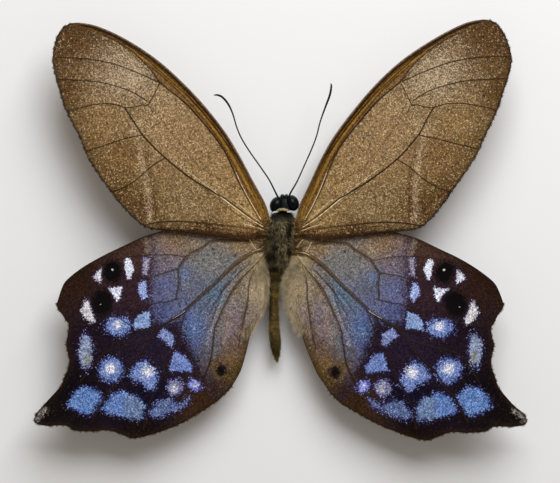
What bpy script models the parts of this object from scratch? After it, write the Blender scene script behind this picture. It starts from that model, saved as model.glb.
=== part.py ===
"""A spread butterfly specimen, resting on its belly and its four walking legs.

The origin is under the thorax, on the surface that the specimen rests on. +X is towards the
specimen's right wings, +Y towards the head and +Z up. Sizes below are in millimetres; x in a wing's
lists runs outwards from the body's mid-plane, so one list serves the left and the right wing.
"""

import math

import bmesh
import bpy
from mathutils import Matrix, Vector

MM = 0.001

# Wings
WING_THICKNESS = 0.30
FOREWING = {
    "root_height": 4.6,  # height of the wing's mid-surface over the table, at the body
    "rise": 0.10,  # height gained for each millimetre outwards
    "camber": 0.55,  # how far the middle of the wing stands above its edges
    "root": [(1.25, 1.3), (1.25, -0.2)],
    "front": [(1.25, 1.3), (1.9, 2.3), (2.7, 4.6), (4.2, 8.0), (6.9, 12.5), (10.2, 16.9),
              (14.4, 21.4), (18.2, 24.8), (21.8, 27.0), (25.3, 28.5), (28.8, 29.2)],
    "outer": [(28.8, 29.2), (30.0, 28.9), (30.9, 28.1), (31.4, 26.6), (31.7, 23.8), (31.4, 21.6),
              (30.8, 19.6), (29.8, 16.9), (28.3, 13.6), (26.9, 10.3), (25.2, 7.8), (23.0, 4.7),
              (21.0, 2.4), (19.5, 1.2), (18.2, 0.45)],
    "rear": [(1.25, -0.2), (2.2, -0.8), (3.4, -1.0), (4.6, -1.1), (6.7, -1.05), (10.1, -0.6),
             (13.3, -0.3), (16.6, 0.0), (18.2, 0.45)],
}
HINDWING = {
    "root_height": 4.0,
    "rise": 0.085,
    "camber": 0.35,
    "root": [(1.25, -1.3), (1.25, -2.7)],
    "front": [(1.25, -1.3), (2.4, -0.7), (4.2, 0.1), (7.7, 0.8), (11.9, 1.0), (15.1, 0.6),
              (17.3, -0.15), (19.9, -1.15), (22.9, -2.6), (25.8, -4.05), (28.3, -5.5),
              (29.8, -6.9), (30.8, -8.5), (31.3, -10.3)],
    "outer": [(31.3, -10.3), (30.3, -11.6), (29.6, -13.6), (30.0, -15.7), (29.6, -18.4),
              (30.2, -20.5), (31.6, -22.5), (33.6, -24.4), (34.35, -25.6), (34.1, -26.7),
              (32.6, -27.1), (30.4, -26.9), (28.0, -27.8), (26.0, -27.95), (24.3, -27.85),
              (22.4, -28.3), (20.7, -28.8), (17.6, -28.1), (14.0, -26.8), (10.4, -24.6),
              (7.2, -22.2)],
    "rear": [(1.25, -2.7), (2.1, -3.3), (2.15, -4.4), (1.85, -6.2), (1.75, -8.2), (2.2, -10.0),
             (3.4, -12.2), (4.3, -14.7), (5.0, -17.1), (5.4, -19.1), (6.0, -20.7), (7.2, -22.2)],
}
# The right hindwing was set with its inner edge nearer to the body
RIGHT_HINDWING = {
    **HINDWING,
    "rear": [(1.25, -2.7), (1.8, -3.3), (1.6, -4.6), (1.2, -6.2), (1.0, -8.2), (1.35, -10.0),
             (2.3, -12.2), (3.15, -14.7), (4.3, -17.3), (5.1, -19.3), (5.8, -20.9), (7.2, -22.2)],
}
# How far each wing's outer end lies from its place in the lists above, as the specimen was set by hand
SHIFTS = {
    "left_forewing": (0.0, -0.1),
    "right_forewing": (0.42, 0.3),
    "left_hindwing": (0.0, 0.0),
    "right_hindwing": (0.1, -0.2),
}
FOREWING_ROWS = 14
HINDWING_ROWS = 16
EDGE_FADE = 3  # how fast the front and rear edges' bulges fade towards the middle of a wing

# Body rings from front to back: x, y, z of the centre, half width and half height
THORAX_RINGS = [
    (0.30, 2.45, 3.65, 0.80, 0.85), (0.28, 2.05, 3.50, 1.35, 1.50), (0.20, 1.40, 3.20, 1.85, 2.35),
    (0.10, 0.60, 2.95, 2.15, 3.15), (0.00, -0.60, 2.95, 2.25, 3.15), (-0.10, -2.00, 2.95, 2.15, 3.15),
    (-0.28, -3.30, 3.05, 1.85, 2.65), (-0.48, -4.55, 3.25, 1.45, 1.90), (-0.62, -5.35, 3.40, 1.05, 1.25),
]
THORAX_SIDES = 20
ABDOMEN_PATH = [(-0.66, -5.45, 3.40), (-0.80, -7.6, 3.25), (-0.86, -10.5, 2.95),
                (-0.80, -13.4, 2.65), (-0.58, -16.2, 2.45), (-0.45, -18.2, 2.35)]
ABDOMEN_WIDTHS = [0.95, 0.80, 0.66, 0.60, 0.62, 0.68, 0.72, 0.68, 0.46, 0.05]
ABDOMEN_DEPTH = 1.35  # height over width
ABDOMEN_GROOVE = 0.86  # width of the groove between two segments, as a share of the segment's
ABDOMEN_SIDES = 14
HEAD_X = 0.62
HEAD_RINGS = [
    (HEAD_X, 5.25, 3.55, 0.45, 0.55), (HEAD_X, 4.95, 3.70, 0.95, 1.05), (HEAD_X, 4.40, 3.85, 1.35, 1.40),
    (HEAD_X, 3.70, 3.90, 1.50, 1.50), (HEAD_X, 3.10, 3.90, 1.25, 1.20), (HEAD_X, 2.80, 3.85, 0.70, 0.75),
    (0.5, 2.60, 3.75, 0.50, 0.50),
]
HEAD_SIDES = 16
EYE_RADII = (0.78, 1.12, 1.15)
EYES = {"left": (HEAD_X - 1.37, 3.95, 3.95, 14.0), "right": (HEAD_X + 1.33, 4.15, 3.95, -20.0)}
GAP = 0.06  # clearance round a piece that sits in a socket of its neighbour

# Slender pieces: points of the middle line, each with its radius
LEFT_ANTENNA = [(-0.10, 4.70, 4.85, 0.13), (-0.45, 5.20, 5.10, 0.11), (-1.45, 7.20, 5.55, 0.085),
                (-2.65, 9.00, 5.95, 0.08), (-4.10, 11.05, 6.40, 0.08), (-5.30, 12.95, 6.75, 0.08),
                (-6.05, 14.65, 7.00, 0.08), (-6.62, 16.55, 7.15, 0.09), (-7.25, 17.90, 7.20, 0.13),
                (-8.05, 18.85, 7.20, 0.14), (-8.75, 19.17, 7.15, 0.12), (-9.25, 19.15, 7.10, 0.05)]
RIGHT_ANTENNA = [(1.25, 4.85, 4.85, 0.13), (1.45, 5.45, 5.10, 0.11), (2.45, 7.20, 5.45, 0.085),
                 (3.42, 9.35, 5.85, 0.08), (4.38, 11.50, 6.25, 0.08), (5.12, 13.45, 6.55, 0.08),
                 (5.62, 15.40, 6.80, 0.08), (6.30, 17.35, 7.00, 0.11), (6.95, 19.10, 7.10, 0.14),
                 (7.18, 20.35, 7.10, 0.12), (7.12, 20.80, 7.08, 0.05)]
# Legs and palps of the right side, about the body's own middle line
MID_LEG = [(1.15, 0.70, 1.55, 0.26), (1.75, 0.95, 1.25, 0.26), (2.15, 1.15, 1.15, 0.16),
           (2.75, 1.50, 1.45, 0.20), (3.60, 2.00, 1.90, 0.21), (4.70, 2.55, 2.35, 0.15),
           (5.10, 2.75, 2.35, 0.13), (6.30, 3.20, 1.60, 0.11), (7.80, 3.75, 0.65, 0.10),
           (8.40, 3.95, 0.28, 0.09), (9.00, 4.15, 0.10, 0.09), (10.1, 4.50, 0.09, 0.08),
           (11.2, 4.85, 0.09, 0.08), (11.6, 4.98, 0.06, 0.04)]
HIND_LEG = [(1.15, -1.90, 1.50, 0.26), (1.70, -2.15, 1.22, 0.26), (2.05, -2.35, 1.12, 0.16),
            (2.60, -2.85, 1.40, 0.20), (3.35, -3.60, 1.80, 0.21), (4.20, -4.45, 2.25, 0.15),
            (4.50, -4.85, 2.25, 0.13), (5.20, -6.10, 1.55, 0.11), (6.10, -7.60, 0.65, 0.10),
            (6.45, -8.20, 0.28, 0.09), (6.80, -8.80, 0.10, 0.09), (7.40, -9.80, 0.09, 0.08),
            (8.00, -10.8, 0.09, 0.08), (8.20, -11.2, 0.06, 0.04)]
FORE_LEG = [(0.62, 1.75, 1.95, 0.18), (0.85, 2.05, 1.55, 0.17), (0.80, 2.60, 1.35, 0.15),
            (0.60, 3.15, 1.55, 0.13), (0.45, 3.00, 1.95, 0.10), (0.35, 2.65, 2.15, 0.05)]
PALP = [(0.30, 4.35, 2.35, 0.14), (0.33, 4.95, 2.55, 0.19), (0.32, 5.45, 3.00, 0.21),
        (0.28, 5.62, 3.60, 0.19), (0.24, 5.60, 4.20, 0.13), (0.20, 5.45, 4.70, 0.05)]
LEG_SIDES_SETTING = 2  # a bevel resolution of 2 gives a tube of 8 sides
HAIR_THIN_SETTING = 1
PROBOSCIS = {"centre": (HEAD_X, 4.45, 1.75), "turns": 2.25, "inner": 0.16, "outer": 0.56, "radius": 0.06}

COLOURS = {
    "forewing": ((0.19, 0.13, 0.075), 0.55),
    "hindwing": ((0.10, 0.10, 0.17), 0.50),
    "thorax": ((0.05, 0.045, 0.03), 0.85),
    "abdomen": ((0.07, 0.055, 0.025), 0.75),
    "head": ((0.015, 0.015, 0.017), 0.80),
    "eye": ((0.012, 0.016, 0.024), 0.25),
    "limb": ((0.035, 0.022, 0.012), 0.60),
}


def clear_scene():
    for obj in list(bpy.data.objects):
        bpy.data.objects.remove(obj, do_unlink=True)


def finish_of(name):
    """The material of that name, made on first use."""
    if name in bpy.data.materials:
        return bpy.data.materials[name]
    colour, roughness = COLOURS[name]
    made = bpy.data.materials.new(name)
    made.use_nodes = True
    shader = made.node_tree.nodes["Principled BSDF"]
    shader.inputs["Base Color"].default_value = (*colour, 1.0)
    shader.inputs["Roughness"].default_value = roughness
    shader.inputs["Metallic"].default_value = 0.0
    return made


def put(name, data, finish, smooth_angle=40.0):
    """A new object of the scene, in its finish."""
    obj = bpy.data.objects.new(name, data)
    bpy.context.scene.collection.objects.link(obj)
    data.materials.append(finish_of(finish))
    if isinstance(data, bpy.types.Mesh):
        data.shade_smooth()
        data.set_sharp_from_angle(angle=math.radians(smooth_angle))
    return obj


def mesh_from(bm, name):
    mesh = bpy.data.meshes.new(name)
    bm.to_mesh(mesh)
    bm.free()
    return mesh


def smooth_curve(points, steps=10):
    """A curve through the points: its close points, and how far along each one is."""
    given = [Vector(p) for p in points]
    ends = [2 * given[0] - given[1], *given, 2 * given[-1] - given[-2]]
    line = []
    for before, start, end, after in zip(ends, ends[1:], ends[2:], ends[3:]):
        for step in range(steps):
            t = step / steps
            line.append(0.5 * (2 * start + (end - before) * t
                               + (2 * before - 5 * start + 4 * end - after) * t ** 2
                               + (3 * start - before - 3 * end + after) * t ** 3))
    line.append(given[-1])
    lengths = [0.0]
    for a, b in zip(line, line[1:]):
        lengths.append(lengths[-1] + (b - a).length)
    return line, lengths


def along(curve, share):
    """The point at that share of a curve's length."""
    line, lengths = curve
    wanted = min(max(share, 0.0), 1.0) * lengths[-1]
    index = next((i for i, length in enumerate(lengths) if length >= wanted), len(line) - 1)
    if index == 0:
        return line[0].copy()
    span = lengths[index] - lengths[index - 1]
    return line[index - 1].lerp(line[index], (wanted - lengths[index - 1]) / span)


def stations(points, curve):
    """The shares of the curve's length at its given points."""
    lengths = curve[1]
    steps = (len(lengths) - 1) // (len(points) - 1)
    return [lengths[i * steps] / lengths[-1] for i in range(len(points))]


def bulge(curve, u):
    """How far an edge stands off the straight line between its ends."""
    return along(curve, u) - curve[0][0].lerp(curve[0][-1], u)


def wing_point(plan, curves, u, v):
    """A point of the wing's mid-surface: u runs from the root out, v from the front edge back."""
    flat = along(curves["root"], v).lerp(along(curves["outer"], v), u)
    flat += bulge(curves["front"], u) * (1 - v) ** EDGE_FADE + bulge(curves["rear"], u) * v ** EDGE_FADE
    height = plan["root_height"] + plan["rise"] * flat.x
    height += plan["camber"] * math.sin(math.pi * v) * math.sin(math.pi * min(u, 0.5))
    return Vector((flat.x, flat.y, height))


def make_wing(name, plan, rows, side, finish):
    """A thin wing sheet; side is 1 for the right wing and -1 for the left."""
    curves = {edge: smooth_curve(plan[edge]) for edge in ("front", "rear", "root", "outer")}
    columns = stations(plan["outer"], curves["outer"])
    bm = bmesh.new()
    bmesh.ops.create_grid(bm, x_segments=rows, y_segments=len(columns) - 1, size=0.5)
    shift_out, shift_y = SHIFTS[name]
    for vertex in bm.verts:
        u = vertex.co.x + 0.5
        v = columns[round((vertex.co.y + 0.5) * (len(columns) - 1))]
        point = wing_point(plan, curves, u, v)
        vertex.co = Vector((side * (point.x + shift_out * u), point.y + shift_y * u, point.z)) * MM
    bmesh.ops.recalc_face_normals(bm, faces=bm.faces)
    wing = put(name, mesh_from(bm, name), finish)
    shell = wing.modifiers.new("Membrane", "SOLIDIFY")
    shell.thickness = WING_THICKNESS * MM
    shell.offset = 0.0
    return wing


def lofted(name, rings, sides, finish, floor=None):
    """A closed body through upright rings. Where a floor is given, the body is flat there."""
    bm = bmesh.new()
    loops = []
    for x, y, z, half_width, half_height in rings:
        place = Matrix.Translation((x, y, z)) @ Matrix.Rotation(math.pi / 2, 4, "X")
        shape = place @ Matrix.Diagonal((half_width, half_height, 1.0, 1.0))
        made = bmesh.ops.create_circle(bm, segments=sides, radius=1.0, matrix=shape)
        loops.append({edge for vertex in made["verts"] for edge in vertex.link_edges})
    for first, second in zip(loops, loops[1:]):
        bmesh.ops.bridge_loops(bm, edges=list(first | second))
    bmesh.ops.holes_fill(bm, edges=[edge for edge in bm.edges if edge.is_boundary], sides=sides)
    for vertex in bm.verts:
        if floor is not None:
            vertex.co.z = max(vertex.co.z, floor)
        vertex.co *= MM
    bmesh.ops.recalc_face_normals(bm, faces=bm.faces)
    return put(name, mesh_from(bm, name), finish)


def ellipsoid(name, centre, radii, turn, finish, detail=14):
    bm = bmesh.new()
    place = Matrix.Translation(Vector(centre) * MM) @ Matrix.Rotation(math.radians(turn), 4, "Z")
    shape = place @ Matrix.Diagonal((*[r * MM for r in radii], 1.0))
    bmesh.ops.create_uvsphere(bm, u_segments=detail, v_segments=detail * 2 // 3, radius=1.0, matrix=shape)
    return put(name, mesh_from(bm, name), finish)


def tube(name, points, finish, side=1, middle=0.0, setting=LEG_SIDES_SETTING):
    """A slender piece along points that carry their own radius."""
    data = bpy.data.curves.new(name, "CURVE")
    data.dimensions = "3D"
    data.bevel_depth = MM
    data.bevel_resolution = setting
    data.use_fill_caps = True
    spline = data.splines.new("POLY")
    spline.points.add(len(points) - 1)
    for target, (x, y, z, radius) in zip(spline.points, points):
        target.co = ((middle + side * x) * MM, y * MM, z * MM, 1.0)
        target.radius = radius
        spline.use_smooth = True
    return put(name, data, finish)


def cutter_box(name, low, high):
    """A box that cuts a socket, given by two corners."""
    bm = bmesh.new()
    centre = (Vector(low) + Vector(high)) / 2 * MM
    size = (Vector(high) - Vector(low)) * MM
    bmesh.ops.create_cube(bm, size=1.0, matrix=Matrix.Translation(centre) @ Matrix.Diagonal((*size, 1.0)))
    return put(name, mesh_from(bm, name), "thorax")


def cutter_rod(name, start, end, radius):
    """A round rod that cuts a socket along a slender piece's root."""
    start, end = Vector(start) * MM, Vector(end) * MM
    bm = bmesh.new()
    turn = (end - start).to_track_quat("Z", "Y").to_matrix().to_4x4()
    place = Matrix.Translation((start + end) / 2) @ turn
    bmesh.ops.create_cone(bm, cap_ends=True, segments=10, radius1=radius * MM, radius2=radius * MM,
                          depth=(end - start).length, matrix=place)
    return put(name, mesh_from(bm, name), "thorax")


def cut(part, cutter):
    """Cuts the helper's shape from the part, and keeps the helper out of the model."""
    cutter.hide_render = True
    cutter.display_type = "WIRE"
    modifier = part.modifiers.new(cutter.name, "BOOLEAN")
    modifier.operation = "DIFFERENCE"
    modifier.object = cutter


def root_rod(points, side, middle, inward, outward):
    """The two ends and the radius of a socket along the first stretch of a slender piece."""
    first, second = (Vector((middle + side * p[0], p[1], p[2])) for p in points[:2])
    direction = (second - first).normalized()
    return first - direction * inward, second + direction * outward, max(points[0][3], points[1][3]) + GAP


def make_thorax():
    thorax = lofted("thorax", THORAX_RINGS, THORAX_SIDES, "thorax", floor=0.0)
    for side, word in ((-1, "left"), (1, "right")):
        for plan, wing, back, front in ((FOREWING, "forewing", -0.75, 1.75), (HINDWING, "hindwing", -3.3, -0.95)):
            height = plan["root_height"] + plan["rise"] * 1.9
            ends = sorted((side * 1.1, side * 3.2))
            cut(thorax, cutter_box(f"{word}_{wing}_socket", (ends[0], back, height - 0.3), (ends[1], front, height + 0.3)))
        for points, leg in ((MID_LEG, "midleg"), (HIND_LEG, "hindleg"), (FORE_LEG, "foreleg")):
            start, end, radius = root_rod(points, side, 0.0, 0.1, 0.6)
            cut(thorax, cutter_rod(f"{word}_{leg}_socket", start, end, radius))
    return thorax


def make_abdomen():
    """Segments that swell between grooves, along a path that sinks a little towards the tip."""
    path = smooth_curve(ABDOMEN_PATH)
    last = len(ABDOMEN_WIDTHS) - 1
    rings = []
    for index, width in enumerate(ABDOMEN_WIDTHS):
        centre = along(path, index / last)
        groove = ABDOMEN_GROOVE if 0 < index < last else 1.0
        rings.append((*centre, width * groove, width * groove * ABDOMEN_DEPTH))
        if index < last:
            middle = along(path, (index + 0.45) / last)
            swell = max(width, ABDOMEN_WIDTHS[index + 1]) * (0.75 if index == last - 1 else 1.0)
            rings.append((*middle, swell, swell * ABDOMEN_DEPTH))
    return lofted("abdomen", rings, ABDOMEN_SIDES, "abdomen")


def make_head():
    head = lofted("head", HEAD_RINGS, HEAD_SIDES, "head")
    for word, (x, y, z, turn) in EYES.items():
        ellipsoid(f"{word}_eye", (x, y, z), EYE_RADII, turn, "eye")
        cut(head, ellipsoid(f"{word}_eye_socket", (x, y, z), [r + GAP for r in EYE_RADII], turn, "head"))
    for word, points in (("left", LEFT_ANTENNA), ("right", RIGHT_ANTENNA)):
        tube(f"{word}_antenna", points, "limb", setting=HAIR_THIN_SETTING)
        start, end, radius = root_rod(points, 1, 0.0, 0.1, 0.8)
        cut(head, cutter_rod(f"{word}_antenna_socket", start, end, radius))
    for side, word in ((-1, "left"), (1, "right")):
        tube(f"{word}_palp", PALP, "head", side, HEAD_X)
        start, end, radius = root_rod(PALP, side, HEAD_X, 0.1, 1.0)
        cut(head, cutter_rod(f"{word}_palp_socket", start, end, radius))
    return head


def make_proboscis():
    """The tongue, rolled up between the palps in a flat spiral."""
    x, y, z = PROBOSCIS["centre"]
    count = 30
    points = []
    for step in range(count + 1):
        share = step / count
        angle = share * PROBOSCIS["turns"] * 2 * math.pi
        reach = PROBOSCIS["inner"] + (PROBOSCIS["outer"] - PROBOSCIS["inner"]) * share
        points.append((x, y + reach * math.cos(angle), z + reach * math.sin(angle), PROBOSCIS["radius"]))
    return tube("proboscis", points, "limb", setting=HAIR_THIN_SETTING)


def main():
    clear_scene()
    make_thorax()
    make_abdomen()
    make_head()
    make_proboscis()
    for side, word, hindwing in ((-1, "left", HINDWING), (1, "right", RIGHT_HINDWING)):
        make_wing(f"{word}_forewing", FOREWING, FOREWING_ROWS, side, "forewing")
        make_wing(f"{word}_hindwing", hindwing, HINDWING_ROWS, side, "hindwing")
        tube(f"{word}_midleg", MID_LEG, "limb", side)
        tube(f"{word}_hindleg", HIND_LEG, "limb", side)
        tube(f"{word}_foreleg", FORE_LEG, "limb", side)


main()
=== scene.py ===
import math

import bpy
import numpy as np
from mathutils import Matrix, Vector
from mathutils.bvhtree import BVHTree


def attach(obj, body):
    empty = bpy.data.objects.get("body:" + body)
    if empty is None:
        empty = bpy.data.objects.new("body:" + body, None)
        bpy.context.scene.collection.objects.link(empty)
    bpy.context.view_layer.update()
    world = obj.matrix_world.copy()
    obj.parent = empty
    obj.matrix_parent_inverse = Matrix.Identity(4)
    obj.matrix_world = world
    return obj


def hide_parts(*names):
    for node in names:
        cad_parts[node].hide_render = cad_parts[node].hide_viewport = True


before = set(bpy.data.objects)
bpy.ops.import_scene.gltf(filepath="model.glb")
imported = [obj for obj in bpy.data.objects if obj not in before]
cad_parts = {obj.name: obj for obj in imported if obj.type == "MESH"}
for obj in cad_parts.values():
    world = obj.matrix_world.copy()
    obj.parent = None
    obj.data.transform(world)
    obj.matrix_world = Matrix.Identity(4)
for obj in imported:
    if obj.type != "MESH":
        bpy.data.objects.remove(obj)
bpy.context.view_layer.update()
mm = 0.001  # sizes below are in millimetres, and a wing's x runs outwards from the body


# Colours and nodes

def linear(hexColour):
    channels = [int(hexColour[i:i + 2], 16) / 255 for i in (1, 3, 5)]
    return tuple(c / 12.92 if c <= 0.04045 else ((c + 0.055) / 1.055) ** 2.4 for c in channels) + (1.0,)


def addNode(material, kind, values=None, links=None, stops=None, **settings):
    node = material.node_tree.nodes.new(kind)
    for name, value in settings.items():
        setattr(node, name, value)
    for socket, value in (values or {}).items():
        node.inputs[socket].default_value = value
    for socket, source in (links or {}).items():
        material.node_tree.links.new(source, node.inputs[socket])
    for index, (position, colour) in enumerate(stops or []):  # a colour ramp's stops
        elements = node.color_ramp.elements
        element = elements[index] if index < 2 else elements.new(position)
        element.position, element.color = position, linear(colour)
    return node


def newMaterial(name, constants):
    material = bpy.data.materials.new(name)
    material.use_nodes = True
    shader = material.node_tree.nodes["Principled BSDF"]
    for socket, value in constants.items():
        shader.inputs[socket].default_value = value
    return material, shader


def finishPiece(piece, name, material, slot, *nodes):
    piece.name = name
    piece.data.name = name
    piece.data.materials.clear()
    piece.data.materials.append(material)
    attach(piece, "root")
    if nodes:
        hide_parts(*nodes)
    print("made", name, len(piece.data.polygons), "faces")
    return piece


# Lines, distances and soft mixes in a wing's flat plan

def smoothLine(points, steps=10):
    given = np.array(points, float)
    ends = np.vstack([2 * given[0] - given[1], given, 2 * given[-1] - given[-2]])
    t = (np.arange(steps) / steps)[:, None]
    parts = []
    for a, b, c, d in zip(ends, ends[1:], ends[2:], ends[3:]):
        parts.append(0.5 * (2 * b + (c - a) * t + (2 * a - 5 * b + 4 * c - d) * t ** 2
                            + (3 * b - a - 3 * c + d) * t ** 3))
    return np.vstack(parts + [given[-1:]])


def pointsAt(line, shares):
    lengths = np.concatenate([[0], np.cumsum(np.linalg.norm(np.diff(line, axis=0), axis=1))])
    return np.stack([np.interp(shares * lengths[-1], lengths, column) for column in line.T], axis=-1)


def distanceTo(points, line):
    best = np.full(len(points), 1e9)
    line = np.array(line, float)
    for a, b in zip(line, line[1:]):
        run = b - a
        share = np.clip((points - a) @ run / (run @ run + 1e-12), 0, 1)
        best = np.minimum(best, np.linalg.norm(points - a - share[:, None] * run, axis=1))
    return best


def depthIn(points, outline):
    # how deep a point lies inside a closed outline; outside it is below zero
    closed = np.array(list(outline) + [outline[0]], float)
    inside = np.zeros(len(points), bool)
    for (ax, ay), (bx, by) in zip(closed, closed[1:]):
        crosses = (ay > points[:, 1]) != (by > points[:, 1])
        if ay != by:
            inside ^= crosses & (points[:, 0] < (bx - ax) * (points[:, 1] - ay) / (by - ay) + ax)
    return np.where(inside, 1, -1) * distanceTo(points, closed)


def depthInOval(points, centre, radii, turn=0):
    c, s = math.cos(math.radians(turn)), math.sin(math.radians(turn))
    away = points - np.array(centre)
    across = (away[:, 0] * c + away[:, 1] * s) / radii[0]
    upright = (-away[:, 0] * s + away[:, 1] * c) / radii[1]
    return (1 - np.hypot(across, upright)) * min(radii)


def softMix(points, patches):
    # each patch of scales is (x, y, reach, colour); near ones count most
    total, weights = np.zeros((len(points), 3)), np.zeros(len(points))
    for x, y, reach, colour in patches:
        weight = (reach / (np.hypot(points[:, 0] - x, points[:, 1] - y) + 0.7)) ** 3
        total += weight[:, None] * np.array(linear(colour)[:3])
        weights += weight
    return total / weights[:, None]


def moved(points, pins):
    # a pin (x, y, dx, dy) says how far the other wing's print of a point lies from the first one's
    shift, weights = np.zeros_like(points), np.full(len(points), 1e-9)
    for x, y, dx, dy in pins:
        weight = (np.hypot(points[:, 0] - x, points[:, 1] - y) + 0.25) ** -2.5
        shift += weight[:, None] * np.array((dx, dy))
        weights += weight
    return points + shift / weights[:, None]


# Wings

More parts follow.
